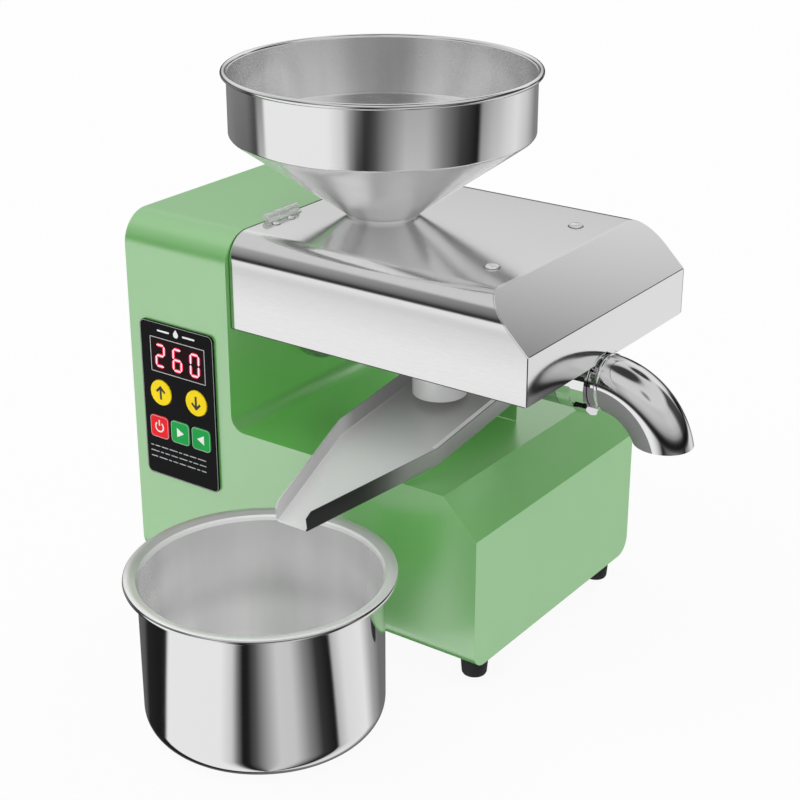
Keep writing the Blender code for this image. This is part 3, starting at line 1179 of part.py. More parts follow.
def make_pan(slide_pan):
    wall = PAN_WALL
    steps = 3

    def corner(radius, centre_r, centre_z, upwards):
        angles = [math.pi / 2 * k / steps for k in range(steps + 1)]
        arc = [(centre_r + radius * math.sin(a), centre_z - radius * math.cos(a)) for a in angles]
        return arc if upwards else arc[::-1]

    inside = [(0, wall)] + corner(PAN_CORNER - wall, PAN_RADIUS - PAN_CORNER, PAN_CORNER, True)
    rim = [(PAN_RADIUS - wall, PAN_HEIGHT - 0.0022), (PAN_RADIUS + 0.0012, PAN_HEIGHT - 0.0002),
           (PAN_RIM - 0.0016, PAN_HEIGHT), (PAN_RIM, PAN_HEIGHT - 0.0016),
           (PAN_RIM - 0.0004, PAN_HEIGHT - 0.0036), (PAN_RIM - 0.0018, PAN_HEIGHT - 0.0034),
           (PAN_RIM - 0.0022, PAN_HEIGHT - 0.0014), (PAN_RADIUS + 0.0014, PAN_HEIGHT - 0.0016),
           (PAN_RADIUS, PAN_HEIGHT - 0.0030)]
    outside = corner(PAN_CORNER, PAN_RADIUS - PAN_CORNER, PAN_CORNER, False) + [(0, 0)]
    pan = turned("oil_pan", inside + rim + outside, (PAN_X, PAN_Y, 0), "Z", FINE_STEPS, as_part=True)
    finish(pan, "polished_steel", slide_pan)


# Fan

def make_fan(turn_fan):
    start = COVER_THICK + GAP
    half = FAN_SIZE / 2
    loops = [rectangle(AXIS_Y, MOTOR_Z, FAN_SIZE, FAN_SIZE, 0.004, 3), circle(AXIS_Y, MOTOR_Z, FAN_HOLE_RADIUS, 20)]
    loops += [circle(AXIS_Y + a * half * 0.83, MOTOR_Z + b * half * 0.83, 0.002, 6)
              for a in (-1, 1) for b in (-1, 1)]
    frame = extruded("fan_frame", loops, "YZ", start, start + FAN_THICK, True)
    strut = 0.0025
    back = start + FAN_THICK
    for k, (dy, dz) in enumerate([(FAN_HOLE_RADIUS + 0.001, strut), (strut, FAN_HOLE_RADIUS + 0.001)]):
        join(frame, box(f"fan_strut_{k + 1}", (back - 0.0020, AXIS_Y - dy, MOTOR_Z - dz),
                        (back, AXIS_Y + dy, MOTOR_Z + dz)))
    join(frame, rod("fan_spindle", (start + 0.003, AXIS_Y, MOTOR_Z), back - start - 0.003, 0.0015, steps=12))
    finish(frame, "black_plastic")

    hub_start, hub_end = start + 0.0015, back - 0.0020 - RUN
    bore = 0.0015 + RUN
    well = start + 0.003 - RUN
    profile = [(0, well), (bore, well), (bore, hub_end), (FAN_HUB_RADIUS, hub_end),
               (FAN_HUB_RADIUS, hub_start), (0, hub_start)]
    hub = turned("fan_rotor", profile, (0, AXIS_Y, MOTOR_Z), "X", 16, as_part=True)
    length = FAN_HOLE_RADIUS - RUN * 2 - FAN_HUB_RADIUS
    middle_x = (hub_start + hub_end) / 2
    for k in range(FAN_BLADES):
        bm = bmesh.new()
        size = Matrix.Diagonal((0.0012, 0.0115, length + 0.001, 1))
        shift = Matrix.Translation((0, 0, FAN_HUB_RADIUS + length / 2 - 0.0005))
        turn = Matrix.Rotation(2 * math.pi * k / FAN_BLADES, 4, "X")
        pitch = Matrix.Rotation(FAN_PITCH, 4, "Z")
        bmesh.ops.create_cube(bm, size=1.0, matrix=turn @ shift @ pitch @ size)
        join(hub, from_bmesh(f"fan_blade_{k + 1}", bm, False, (middle_x, AXIS_Y, MOTOR_Z)))
    finish(hub, "black_plastic", turn_fan)


def centre_on_table():
    """Move the machine so that the origin lies on the table under its middle."""
    bpy.context.view_layer.update()
    graph = bpy.context.evaluated_depsgraph_get()
    corners = [obj.matrix_world @ Vector(corner) for obj in parts.objects if obj.type == "MESH"
               for corner in obj.evaluated_get(graph).bound_box]
    middle = [(min(c[i] for c in corners) + max(c[i] for c in corners)) / 2 for i in (0, 1)]
    machine.location = (-round(middle[0], 6), -round(middle[1], 6), -round(min(c[2] for c in corners), 6))


def main():
    turn_screw = empty("press_screw_spin", (BOX_A, *OUTPUT), machine)
    turn_hood = empty("hood_hinge", (HINGE_X, AXIS_Y, BODY_HEIGHT + HINGE_RISE), machine)
    lift_hopper = empty("hopper_lift", (HOPPER_X, AXIS_Y, BODY_HEIGHT), turn_hood)
    slide_chute = empty("chute_slide", (CHUTE_X, 0, DECK_HEIGHT), machine)
    slide_pan = empty("pan_slide", (PAN_X, PAN_Y, 0), machine)
    turn_fan = empty("fan_spin", (COVER_THICK, AXIS_Y, MOTOR_Z), machine)
    make_body()
    make_panel()
    make_inlet()
    make_train()
    make_gearbox()
    drive_x = make_shaft(turn_screw)
    make_barrel()
    make_screw(turn_screw, drive_x)
    make_outlet()
    make_hood(turn_hood)
    make_hopper(lift_hopper)
    make_hinges(turn_hood)
    make_hood_fasteners(turn_hood)
    make_chute(slide_chute)
    make_pan(slide_pan)
    make_fan(turn_fan)

    centre_on_table()


main()
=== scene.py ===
"""Looks of the screw oil press: painted body, stainless hood, hopper, pan, chute and elbow."""
import math

import bmesh
import bpy
from mathutils import Matrix, Vector


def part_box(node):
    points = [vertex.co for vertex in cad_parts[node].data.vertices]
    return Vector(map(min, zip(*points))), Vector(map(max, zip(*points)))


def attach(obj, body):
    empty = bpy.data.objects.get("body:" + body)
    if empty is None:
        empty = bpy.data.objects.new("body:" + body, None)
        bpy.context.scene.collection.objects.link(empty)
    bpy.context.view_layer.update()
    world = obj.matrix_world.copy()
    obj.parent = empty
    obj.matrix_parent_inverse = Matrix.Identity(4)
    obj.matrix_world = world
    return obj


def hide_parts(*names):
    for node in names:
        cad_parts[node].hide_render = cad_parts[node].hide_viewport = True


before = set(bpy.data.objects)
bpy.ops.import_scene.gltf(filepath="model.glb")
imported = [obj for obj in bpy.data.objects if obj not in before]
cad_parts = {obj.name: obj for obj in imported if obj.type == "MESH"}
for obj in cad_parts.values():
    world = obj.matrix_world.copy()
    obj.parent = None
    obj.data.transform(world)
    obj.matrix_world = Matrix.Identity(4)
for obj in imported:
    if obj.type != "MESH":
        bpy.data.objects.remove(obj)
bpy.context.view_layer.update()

MM = 0.001
body_low, body_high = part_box("body_shell")
ORIGIN = Vector((body_low[0], body_low[1], 0))

# Sizes in millimetres: X from the column's left side, Y from its front, Z from the table
BODY_LENGTH = 238.5
BODY_DEPTH = 168.0
BODY_TOP = 224.8
BODY_BOTTOM = 13.0
COLUMN_WIDTH = 74.0
DECK = 111.3
END_CHAMFER = 21.0
AXIS_Y = 84.0
AXIS_Z = 158.5
HOPPER_X = 118.6
HOOD_LEFT = 74.3
HOOD_RIGHT = 264.2
HOOD_FRONT = 3.0
HOOD_BOTTOM = 171.6
HOOD_RADIUS = 15.4
SLOPE_RUN = 27.1
SLOPE_DROP = 26.6
DRAIN_X = 157.9
CHUTE_X = 166.3
CHUTE_HALF_WIDE = 32.0
CHUTE_HALF_TIP = 9.3
CHUTE_TIP_Y = -60.9
CHUTE_KINK_Y = 23.1
CHUTE_BACK_Y = 104.0
CHUTE_SLOPE = 0.130
CHUTE_WALL = 9.7
CHUTE_SNIP = 3.4
PAN_X = 161.1
PAN_Y = -80.5
PANEL_X = 36.4
PANEL_Z = 117.2
PANEL_FACE = -1.5
KEY_FACE = -2.1
ROUND_KEY_X = 13.4
ROUND_KEY_Z = 122.2
SQUARE_KEY_X = 15.9
SQUARE_KEY_Z = 100.2
HINGE_Y = 36.6
MOUTH_RADIUS = 17.0
ELBOW_FOOT = 132.0


def place(x, y, z):
    """A point of the machine frame in millimetres, as a place in the scene."""
    return Vector((x, y, z)) * MM + ORIGIN


# Materials

def new_material(name):
    made = bpy.data.materials.new(name)
    made.use_nodes = True
    tree = made.node_tree
    return made, tree, tree.nodes["Principled BSDF"]


def add(tree, kind, **values):
    """A node with some of its inputs or properties set."""
    node = tree.nodes.new(kind)
    for key, value in values.items():
        if key in node.inputs:
            node.inputs[key].default_value = value
        else:
            setattr(node, key, value)
    return node


def wire(source, target):
    """Link an output to an input of the same tree."""
    source.id_data.links.new(source, target)


def vector_math(tree, operation, vector, second=None):
    """A vector operation on a socket, with a constant as its second value."""
    node = add(tree, "ShaderNodeVectorMath", operation=operation)
    wire(vector, node.inputs[0])
    if second is not None:
        node.inputs[1].default_value = second
    return node


def number_math(tree, operation, *values):
    """The result of an operation on one or two sockets."""
    node = add(tree, "ShaderNodeMath", operation=operation)
    for socket, value in zip(node.inputs, values):
        wire(value, socket)
    return node.outputs[0]


def coordinates(tree, scale=(1, 1, 1)):
    source = add(tree, "ShaderNodeTexCoord")
    mapping = add(tree, "ShaderNodeMapping", Scale=scale)
    wire(source.outputs["Object"], mapping.inputs["Vector"])
    return mapping.outputs["Vector"]


def noise(tree, vector, scale, detail, roughness=0.5):
    node = add(tree, "ShaderNodeTexNoise", Scale=scale, Detail=detail, Roughness=roughness)
    wire(vector, node.inputs["Vector"])
    return node.outputs["Fac"]


def spread(tree, value, low, high, from_low=0.0, from_high=1.0):
    """Map a value to a new range."""
    ends = {"From Min": from_low, "From Max": from_high, "To Min": low, "To Max": high}
    node = add(tree, "ShaderNodeMapRange", **ends)
    wire(value, node.inputs["Value"])
    return node.outputs["Result"]


def bump(tree, height, shader, strength, distance=0.0001):
    node = add(tree, "ShaderNodeBump", Strength=strength, Distance=distance)
    wire(height, node.inputs["Height"])
    wire(node.outputs["Normal"], shader.inputs["Normal"])


def two_colours(tree, value, first, second, shader):
    node = add(tree, "ShaderNodeMix", data_type="RGBA")
    node.inputs[6].default_value = (*first, 1)
    node.inputs[7].default_value = (*second, 1)
    wire(value, node.inputs[0])
    wire(node.outputs[2], shader.inputs["Base Color"])


def grey(level):
    return (level, level, level)


def paint(name, first, second, roughness, ior):
    """Satin paint with a faint orange peel, a slow change of colour and a strong soft shine."""
    made, tree, shader = new_material(name)
    where = coordinates(tree)
    two_colours(tree, noise(tree, where, 9.0, 3.0), first, second, shader)
    gloss = spread(tree, noise(tree, where, 40.0, 4.0), roughness - 0.03, roughness + 0.03)
    wire(gloss, shader.inputs["Roughness"])
    bump(tree, noise(tree, where, 900.0, 2.0), shader, 0.03, 0.0002)
    shader.inputs["IOR"].default_value = ior
    shader.inputs["Specular IOR Level"].default_value = 0.6
    return made


def metal(name, first, second, roughness, grain=(1, 1, 1), grain_scale=60.0, strength=0.03, change=0.04,
          metallic=1.0):
    """Metal with a grain that runs along one direction, in its tone, gloss and relief."""
    made, tree, shader = new_material(name)
    where = coordinates(tree, grain)
    streaks = noise(tree, where, grain_scale, 5.0, 0.6)
    two_colours(tree, streaks, first, second, shader)
    shader.inputs["Metallic"].default_value = metallic
    wire(spread(tree, streaks, roughness - change, roughness + change), shader.inputs["Roughness"])
    bump(tree, streaks, shader, strength)
    return made


def turned_metal(name, level, roughness, centre):
    """Sheet metal spun round a vertical axis: fine rings in its gloss and relief."""
    made, tree, shader = new_material(name)
    change = 0.03
    shader.inputs["Base Color"].default_value = (*grey(level), 1)
    shader.inputs["Metallic"].default_value = 1.0
    source = add(tree, "ShaderNodeTexCoord").outputs["Object"]
    shift = vector_math(tree, "SUBTRACT", source, centre)
    parts = add(tree, "ShaderNodeSeparateXYZ")
    wire(shift.outputs[0], parts.inputs[0])
    flat = add(tree, "ShaderNodeCombineXYZ")
    wire(parts.outputs["X"], flat.inputs["X"])
    wire(parts.outputs["Y"], flat.inputs["Y"])
    reach = vector_math(tree, "LENGTH", flat.outputs[0])
    rings = add(tree, "ShaderNodeCombineXYZ")
    wire(reach.outputs["Value"], rings.inputs["X"])
    wire(parts.outputs["Z"], rings.inputs["Z"])
    lines = noise(tree, rings.outputs[0], 1400.0, 3.0, 0.6)
    smudge = noise(tree, source, 22.0, 3.0)
    gloss = number_math(tree, "ADD", spread(tree, lines, -change, change),
                        spread(tree, smudge, roughness - change, roughness + change))
    wire(gloss, shader.inputs["Roughness"])
    bump(tree, lines, shader, 0.03, 0.00005)
    return made


def ramp(node, stops, low, high):
    """Fill a colour ramp from (place, grey level) stops between two places."""
    elements = node.color_ramp.elements
    while len(elements) > 1:
        elements.remove(elements[-1])
    for number, (spot, level) in enumerate(stops):
        position = (spot - low) / (high - low)
        if number:
            element = elements.new(position)
        else:
            element = elements[0]
            element.position = position
        element.color = (level, level, level, 1)


def reflection_painted_metal(name, direction, stops, roughness, metallic, grain, grain_scale, change, relief=0.005):
    """Sheet metal with painted reflections and shade: its tone changes along a direction, as (millimetres,
    grey level) stops, with streaks.
    """
    made, tree, shader = new_material(name)
    source = add(tree, "ShaderNodeTexCoord").outputs["Object"]
    along = vector_math(tree, "DOT_PRODUCT", source, direction)
    low, high = stops[0][0], stops[-1][0]
    shift = ORIGIN.dot(Vector(direction))
    where = spread(tree, along.outputs["Value"], 0.0, 1.0, low * MM + shift, high * MM + shift)
    tone = add(tree, "ShaderNodeValToRGB")
    tone.color_ramp.interpolation = "B_SPLINE"
    ramp(tone, stops, low, high)
    wire(where, tone.inputs["Fac"])
    streaks = noise(tree, coordinates(tree, grain), grain_scale, 3.0, 0.5)
    scaled = vector_math(tree, "SCALE", tone.outputs["Color"])
    wire(spread(tree, streaks, 1.0 - change, 1.0 + change, 0.25, 0.75), scaled.inputs["Scale"])
    wire(scaled.outputs[0], shader.inputs["Base Color"])
    shader.inputs["Metallic"].default_value = metallic
    wire(spread(tree, streaks, roughness - 0.02, roughness + 0.02), shader.inputs["Roughness"])
    bump(tree, streaks, shader, relief)
    return made


def plastic(name, colour, roughness, relief=0.1, relief_scale=600.0, change=0.05, shine=0.5):
    made, tree, shader = new_material(name)
    where = coordinates(tree)
    grain = noise(tree, where, relief_scale, 3.0)
    darker = tuple(c * 0.8 for c in colour)
    two_colours(tree, noise(tree, where, 60.0, 3.0), colour, darker, shader)
    wire(spread(tree, grain, roughness - change, roughness + change), shader.inputs["Roughness"])
    bump(tree, grain, shader, relief)
    shader.inputs["Specular IOR Level"].default_value = shine
    return made


def glowing(name, colour, strength):
    made, tree, shader = new_material(name)
    where = coordinates(tree)
    two_colours(tree, noise(tree, where, 300.0, 2.0), colour, tuple(c * 0.92 for c in colour), shader)
    tint = shader.inputs["Base Color"].links[0].from_socket
    wire(tint, shader.inputs["Emission Color"])
    wire(spread(tree, noise(tree, where, 700.0, 3.0), 0.35, 0.45), shader.inputs["Roughness"])
    shader.inputs["Emission Strength"].default_value = strength
    return made


UP = (0, 0, 1)
BACK = (0, 1, 0)
# Directions for painted reflections and shade: away from the camera across the pan, and along the chute with
# a turn to its right
ACROSS_PAN = (-0.57, 0.82, 0)
ALONG_CHUTE = (-0.35, 1, 0)
EVEN = (1, 1, 1)
UPRIGHT = (1, 1, 0.03)
BRUSHED_X = (6, 90, 90)
BRUSHED_Y = (90, 6, 90)
BRUSHED = (60, 6, 60)

green = paint("green_paint", (0.113, 0.41, 0.080), (0.123, 0.44, 0.088), 0.30, 3.25)
# Dark green that paints the shade in the gap between the column and the hood
gap_painted_shade = plastic("gap_painted_shade", (0.018, 0.11, 0.012), 0.5, 0.02, 300.0)

# Painted reflection: the hood's grey by height, with a dark band near the top where its front bends over
hood_tones = [(171, 0.87), (186, 0.865), (194, 0.80), (203, 0.72), (207.5, 0.63), (210, 0.80), (213, 0.83),
              (226, 0.83)]
# Painted reflection and shade: grey by height inside the hopper and on its cone, darker at the cone's top
hopper_inside_tones = [(225, 0.78), (271, 0.82), (284, 0.78), (306, 0.77)]
hopper_cone_tones = [(222, 0.86), (230, 0.88), (262, 0.86), (273, 0.76)]
# Painted reflection: grey by height inside the pan, with a dark band at about 41 mm
pan_inside_tones = [(0, 0.87), (20, 0.87), (31, 0.85), (41, 0.62), (50, 0.77), (62, 0.85), (86, 0.85)]
# Painted reflection: the rim's grey changes across the pan, away from the camera; the satin part goes from
# bright near to dark far, the shade ring the other way
rim_satin_tones = [(-230, 0.93), (-172, 0.91), (-148, 0.55), (-85, 0.46)]
rim_shade_tones = [(-230, 0.34), (-172, 0.36), (-148, 0.78), (-85, 0.84)]
# Painted shade and reflection: the chute's grey by distance along it, darker towards the back under the
# hood; the near wall is painted almost black at the tip
chute_steel_tones = [(-62, 0.62), (-30, 0.52), (0, 0.50), (24, 0.62), (34, 0.30), (70, 0.22), (105, 0.18)]
chute_wall_tones = [(-62, 0.012), (-30, 0.014), (-12, 0.06), (2, 0.27), (24, 0.30), (34, 0.24), (105, 0.26)]
chute_floor_tones = [(-120, 0.86), (-78, 0.84), (-50, 0.82), (-30, 0.74), (-5, 0.48), (20, 0.26), (50, 0.18)]

# The hood's metal carries painted reflection bands by height
hood_steel = reflection_painted_metal("hood_steel", UP, hood_tones, 0.12, 1.0, BRUSHED_X, 30.0, 0.03, 0.015)
hopper_inside = reflection_painted_metal("hopper_inside", UP, hopper_inside_tones, 0.18, 0.85, UPRIGHT, 48.0, 0.1, 0.001)
hopper_cone = reflection_painted_metal("hopper_cone", UP, hopper_cone_tones, 0.13, 0.66, (1, 1, 0.2), 40.0, 0.05)
pan_inside = reflection_painted_metal("pan_inside", UP, pan_inside_tones, 0.20, 0.72, UPRIGHT, 34.0, 0.09)
rim_satin = reflection_painted_metal("pan_rim_satin", ACROSS_PAN, rim_satin_tones, 0.30, 0.45, EVEN, 60.0, 0.02)
rim_shade = reflection_painted_metal("pan_rim_shade", ACROSS_PAN, rim_shade_tones, 0.40, 0.25, EVEN, 60.0, 0.02)
chute_steel = reflection_painted_metal("chute_steel", BACK, chute_steel_tones, 0.30, 0.35, BRUSHED, 30.0, 0.02)
chute_wall = reflection_painted_metal("chute_wall", BACK, chute_wall_tones, 0.30, 0.25, BRUSHED, 30.0, 0.02)
chute_floor = reflection_painted_metal("chute_floor", ALONG_CHUTE, chute_floor_tones, 0.36, 0.25, BRUSHED, 30.0, 0.02)

hopper_outside = turned_metal("hopper_outside", 0.86, 0.07, place(HOPPER_X, AXIS_Y, 0))
pan_outside = turned_metal("pan_outside", 0.86, 0.07, place(PAN_X, PAN_Y, 0))

end_steel = metal("hood_end_steel", grey(0.87), grey(0.90), 0.07, BRUSHED_Y, 30.0, 0.01, 0.02)
# Near-black steel for painted shade: thin lines in the hood's open seams and round screw and rivet heads
seam_painted_shade = metal("seam_shadow", grey(0.10), grey(0.16), 0.4)
chrome = metal("elbow_chrome", (0.84, 0.84, 0.85), (0.88, 0.88, 0.89), 0.055, EVEN, 25.0, 0.01, 0.02)
# Dull dark grey that paints the shade on the elbow's lower side
underside_shade_tones = [(0.205, 0.20, 0.205), (0.225, 0.22, 0.225)]
underside = metal("elbow_painted_shade", *underside_shade_tones, 0.45, EVEN, 60.0, 0.003, 0.02, 0.1)
# Pale steel that paints a highlight along the top edge of the chute's near wall
hem_steel = metal("chute_hem_steel", grey(0.90), grey(0.94), 0.30, BRUSHED, 30.0, 0.01, 0.02, 0.4)
hinge_steel = metal("hinge_steel", grey(0.82), grey(0.88), 0.26, EVEN, 60.0, 0.003, 0.02, 0.6)
collar_steel = metal("collar_steel", grey(0.80), grey(0.84), 0.30, (60, 60, 6), 30.0, 0.01, 0.02, 0.4)
plain_steel = metal("plain_steel", grey(0.62), grey(0.70), 0.25, EVEN, 200.0, 0.05)
cast_steel = metal("barrel_steel", (0.50, 0.50, 0.51), (0.60, 0.60, 0.61), 0.30, (120, 6, 6), 20.0, 0.05)
gear_steel = metal("gear_steel", (0.46, 0.45, 0.43), (0.56, 0.54, 0.51), 0.30, (4, 60, 60), 40.0, 0.05)
bronze = metal("bearing_bronze", (0.60, 0.40, 0.18), (0.68, 0.46, 0.22), 0.32, EVEN, 150.0, 0.05)
heater_steel = metal("heater_band_steel", (0.50, 0.45, 0.37), (0.60, 0.55, 0.47), 0.35, EVEN, 90.0, 0.05)

rubber = plastic("foot_rubber", (0.014, 0.014, 0.015), 0.70, 0.3, 900.0)
black_plastic = plastic("black_plastic", (0.02, 0.02, 0.021), 0.48, 0.2, 1200.0)
black_gloss = plastic("panel_black", (0.004, 0.004, 0.005), 0.25, 0.02, 400.0, 0.02, 0.07)
enamel = plastic("motor_enamel", (0.03, 0.03, 0.033), 0.40, 0.3, 500.0)
board_green = plastic("circuit_board", (0.01, 0.12, 0.04), 0.45, 0.2, 300.0)
window_red = plastic("display_window", (0.012, 0.002, 0.003), 0.20, 0.01, 300.0, 0.02, 0.07)
yellow = plastic("key_yellow", (0.97, 0.72, 0.008), 0.35, 0.03, 700.0, 0.05, 0.15)
red = plastic("key_red", (0.88, 0.012, 0.022), 0.35, 0.03, 700.0, 0.05, 0.15)
key_green = plastic("key_green", (0.008, 0.36, 0.065), 0.35, 0.03, 700.0, 0.05, 0.15)
print_black = plastic("print_black", grey(0.01), 0.4, 0.02, 700.0)
print_white = plastic("print_white", (0.85, 0.86, 0.85), 0.4, 0.02, 700.0)
print_grey = plastic("print_grey", (0.50, 0.52, 0.52), 0.4, 0.02, 700.0)
digit_core = glowing("digit_core", (1.0, 0.42, 0.50), 1.0)
digit_halo = glowing("digit_halo", (0.55, 0.008, 0.035), 0.9)

# The materials of the solids; a solid that isn't here is rubber, hinge steel or plain steel
CARRIED = [
    (green, "body_shell side_cover"), (hood_steel, "hood"), (hopper_outside, "hopper"),
    (pan_outside, "oil_pan"), (chute_steel, "oil_chute"), (chrome, "residue_elbow ring_nut"),
    (black_gloss, "control_panel"), (window_red, "display_window"), (board_green, "control_board"),
    (black_plastic, "display_module power_inlet fan_frame fan_rotor"), (enamel, "drive_motor"),
    (bronze, "shaft_bearing_front shaft_bearing_rear temperature_probe"), (heater_steel, "heater_band"),
    (gear_steel, "press_screw output_gear gear_cluster_1 gear_cluster_2 motor_pinion"),
    (cast_steel, "press_barrel"), (yellow, "key_temperature_up key_temperature_down"),
    (red, "key_power"), (key_green, "key_forward key_reverse"),
]
own_material = {solid: material for material, solids in CARRIED for solid in solids.split()}
for node_name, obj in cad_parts.items():
    chosen = own_material.get(node_name, rubber if node_name.startswith("foot") else plain_steel)
    if node_name.startswith("hinge"):
        chosen = hinge_steel
    for slot in obj.material_slots:
        slot.material = chosen


# Making meshes

def into_scene(name, data):
    obj = bpy.data.objects.new(name, data)
    bpy.context.scene.collection.objects.link(obj)
    return obj


def evaluated_mesh(obj):
    """A new mesh of an object with its modifiers applied."""
    bpy.context.view_layer.update()
    return bpy.data.meshes.new_from_object(obj.evaluated_get(bpy.context.evaluated_depsgraph_get()))


def piece(name, mesh, materials, body, angle):
    """A visible object on one of the part's bodies, smooth up to an angle."""
    obj = into_scene(name, mesh)
    for entry in materials:
        mesh.materials.append(entry)
    if angle:
        mesh.shade_smooth()
        mesh.set_sharp_from_angle(angle=math.radians(angle))
    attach(obj, body)
    return obj


def mesh_from(bm, name):
    """End a bmesh as a mesh with its faces outward."""
    bmesh.ops.recalc_face_normals(bm, faces=bm.faces)
    mesh = bpy.data.meshes.new(name)
    bm.to_mesh(mesh)
    bm.free()
    return mesh


def lathe(name, profile, base, materials, body, axis="Z", steps=96, slots=None, angle=40):
    """Turn (radius, height) points in millimetres about an X or Z axis through base, as a closed skin.

    Points at radius zero become poles; slots gives a material index for each stretch.
    """
    bm = bmesh.new()
    rings = []
    for radius, height in profile:
        if radius < 1e-6:
            rings.append([bm.verts.new((0, 0, height * MM))])
            continue
        rings.append([bm.verts.new((radius * MM * math.cos(2 * math.pi * k / steps),
                                    radius * MM * math.sin(2 * math.pi * k / steps), height * MM))
                      for k in range(steps)])
    pairs = list(zip(rings, rings[1:]))
    if profile[0][0] > 1e-6:
        pairs.append((rings[-1], rings[0]))
    for index, (first, second) in enumerate(pairs):
        for k in range(steps):
            after = (k + 1) % steps
            corners = []
            for vert in (first[k % len(first)], first[after % len(first)],
                         second[after % len(second)], second[k % len(second)]):
                if vert not in corners:
                    corners.append(vert)
            face = bm.faces.new(corners)
            face.material_index = slots[index] if slots else 0
    mesh = mesh_from(bm, name)
    turn = Matrix.Rotation(math.pi / 2, 4, "Y") if axis == "X" else Matrix.Identity(4)
    mesh.transform(Matrix.Translation(base) @ turn)
    return piece(name, mesh, materials, body, angle)


def arc(centre_u, centre_v, radius, start, end, steps):
    """Points of an arc in degrees."""
    return [(centre_u + radius * math.cos(math.radians(start + (end - start) * k / steps)),
             centre_v + radius * math.sin(math.radians(start + (end - start) * k / steps)))
            for k in range(steps + 1)]


def rounded(corners, steps):
    """A loop from (u, v, radius) corners, with each corner's arc in steps."""
    loop = []
    count = len(corners)
    for i, (x, y, radius) in enumerate(corners):
        here = Vector((x, y))
        if radius <= 0:
            loop.append((x, y))
            continue
        back = (Vector(corners[i - 1][:2]) - here).normalized()
        ahead = (Vector(corners[(i + 1) % count][:2]) - here).normalized()
        half = back.angle(ahead) / 2
        centre = here + (back + ahead).normalized() * (radius / math.sin(half))
        start = here + back * (radius / math.tan(half)) - centre
        sweep = start.angle_signed(here + ahead * (radius / math.tan(half)) - centre)
        for k in range(steps + 1):
            loop.append(tuple(centre + Matrix.Rotation(-sweep * k / steps, 2) @ start))
    return loop


def rectangle(cu, cv, width, height, radius, steps=6):
    w, h = width / 2, height / 2
    return rounded([(cu - w, cv - h, radius), (cu + w, cv - h, radius),
                    (cu + w, cv + h, radius), (cu - w, cv + h, radius)], steps)


def prism_mesh(name, loops, plane, low, high):
    """A flat outline with holes in the plane XZ or YZ, between two depths, in millimetres."""
    curve = bpy.data.curves.new(name, "CURVE")
    curve.dimensions = "2D"
    curve.fill_mode = "BOTH"
    curve.extrude = (high - low) / 2 * MM
    for loop in loops:
        spline = curve.splines.new("POLY")
        spline.points.add(len(loop) - 1)
        for point, (u, v) in zip(spline.points, loop):
            point.co = (u * MM, v * MM, 0, 1)
        spline.use_cyclic_u = True
    drawn = into_scene(name, curve)
    mesh = evaluated_mesh(drawn)
    bpy.data.objects.remove(drawn, do_unlink=True)
    middle = (low + high) / 2 * MM
    turns = {
        "XZ": Matrix(((1, 0, 0, 0), (0, 0, -1, middle), (0, 1, 0, 0), (0, 0, 0, 1))),
        "YZ": Matrix(((0, 0, 1, middle), (1, 0, 0, 0), (0, 1, 0, 0), (0, 0, 0, 1))),
    }
    mesh.transform(Matrix.Translation(ORIGIN) @ turns[plane])
    bm = bmesh.new()
    bm.from_mesh(mesh)
    bmesh.ops.remove_doubles(bm, verts=bm.verts, dist=1e-7)
    bpy.data.meshes.remove(mesh)
    return mesh_from(bm, name)


def scratch(mesh):
    """An object that is only a tool for a boolean."""
    return into_scene(mesh.name, mesh)


def carve(first, steps, name):
    """Apply booleans to an object: (operation, other object) in order. Returns the new mesh."""
    for operation, other in steps:
        modifier = first.modifiers.new(operation, "BOOLEAN")
        modifier.operation = operation
        modifier.object = other
        modifier.solver = "EXACT"
    mesh = evaluated_mesh(first)
    mesh.name = name
    for obj in [first] + [other for _, other in steps]:
        bpy.data.objects.remove(obj, do_unlink=True)
    return mesh


def cuts(meshes):
    """Steps for carve that take each mesh away."""
    return [("DIFFERENCE", scratch(mesh)) for mesh in meshes]


def soften(obj, width, segments, angle):
    """Round a hard piece's edges."""
    modifier = obj.modifiers.new("edges", "BEVEL")
    modifier.width = width * MM
    modifier.segments = segments
    modifier.limit_method = "ANGLE"
    modifier.angle_limit = math.radians(angle)
    modifier.harden_normals = True
    modifier.use_clamp_overlap = True


def block_mesh(name, low, high):
    """A box between two corners in millimetres, to cut with."""
    a, b = place(*low), place(*high)
    size = Matrix.Diagonal((*(b - a), 1))
    bm = bmesh.new()
    bmesh.ops.create_cube(bm, size=1.0, matrix=Matrix.Translation((a + b) / 2) @ size)
    return mesh_from(bm, name)


def rod_mesh(name, base, length, radius, turned):
    """A rod to cut with, upright or turned to lie along X."""
    bm = bmesh.new()
    bmesh.ops.create_cone(bm, cap_ends=True, segments=64, radius1=radius * MM, radius2=radius * MM,
                          depth=length * MM, matrix=Matrix.Translation((0, 0, length / 2 * MM)))
    mesh = mesh_from(bm, name)
    turn = Matrix.Rotation(math.pi / 2, 4, "Y") if turned else Matrix.Identity(4)
    mesh.transform(Matrix.Translation(place(*base)) @ turn)
    return mesh


# Body

def body_loop(a):
    """The body's outline from the front, moved in by an amount."""
    left = -5.0 if a else 0.0
    slant = a * (math.sqrt(2) - 1)
    return rounded([
        (left, BODY_BOTTOM + a, 0), (BODY_LENGTH - a, BODY_BOTTOM + a, 0),
        (BODY_LENGTH - a, DECK - END_CHAMFER - slant, 0), (BODY_LENGTH - END_CHAMFER - slant, DECK - a, 0),
        (COLUMN_WIDTH - a, DECK - a, 9.0 + a), (COLUMN_WIDTH - a, BODY_TOP - a, 0), (left, BODY_TOP - a, 0),
    ], 14)


def body_section(a):
    """The body's outline from the side, moved in by an amount."""
    low, high = 10 - a, 18 - a
    return rounded([(a, BODY_BOTTOM + a, low), (BODY_DEPTH - a, BODY_BOTTOM + a, low),
                    (BODY_DEPTH - a, BODY_TOP - a, high), (a, BODY_TOP - a, high)], 20)


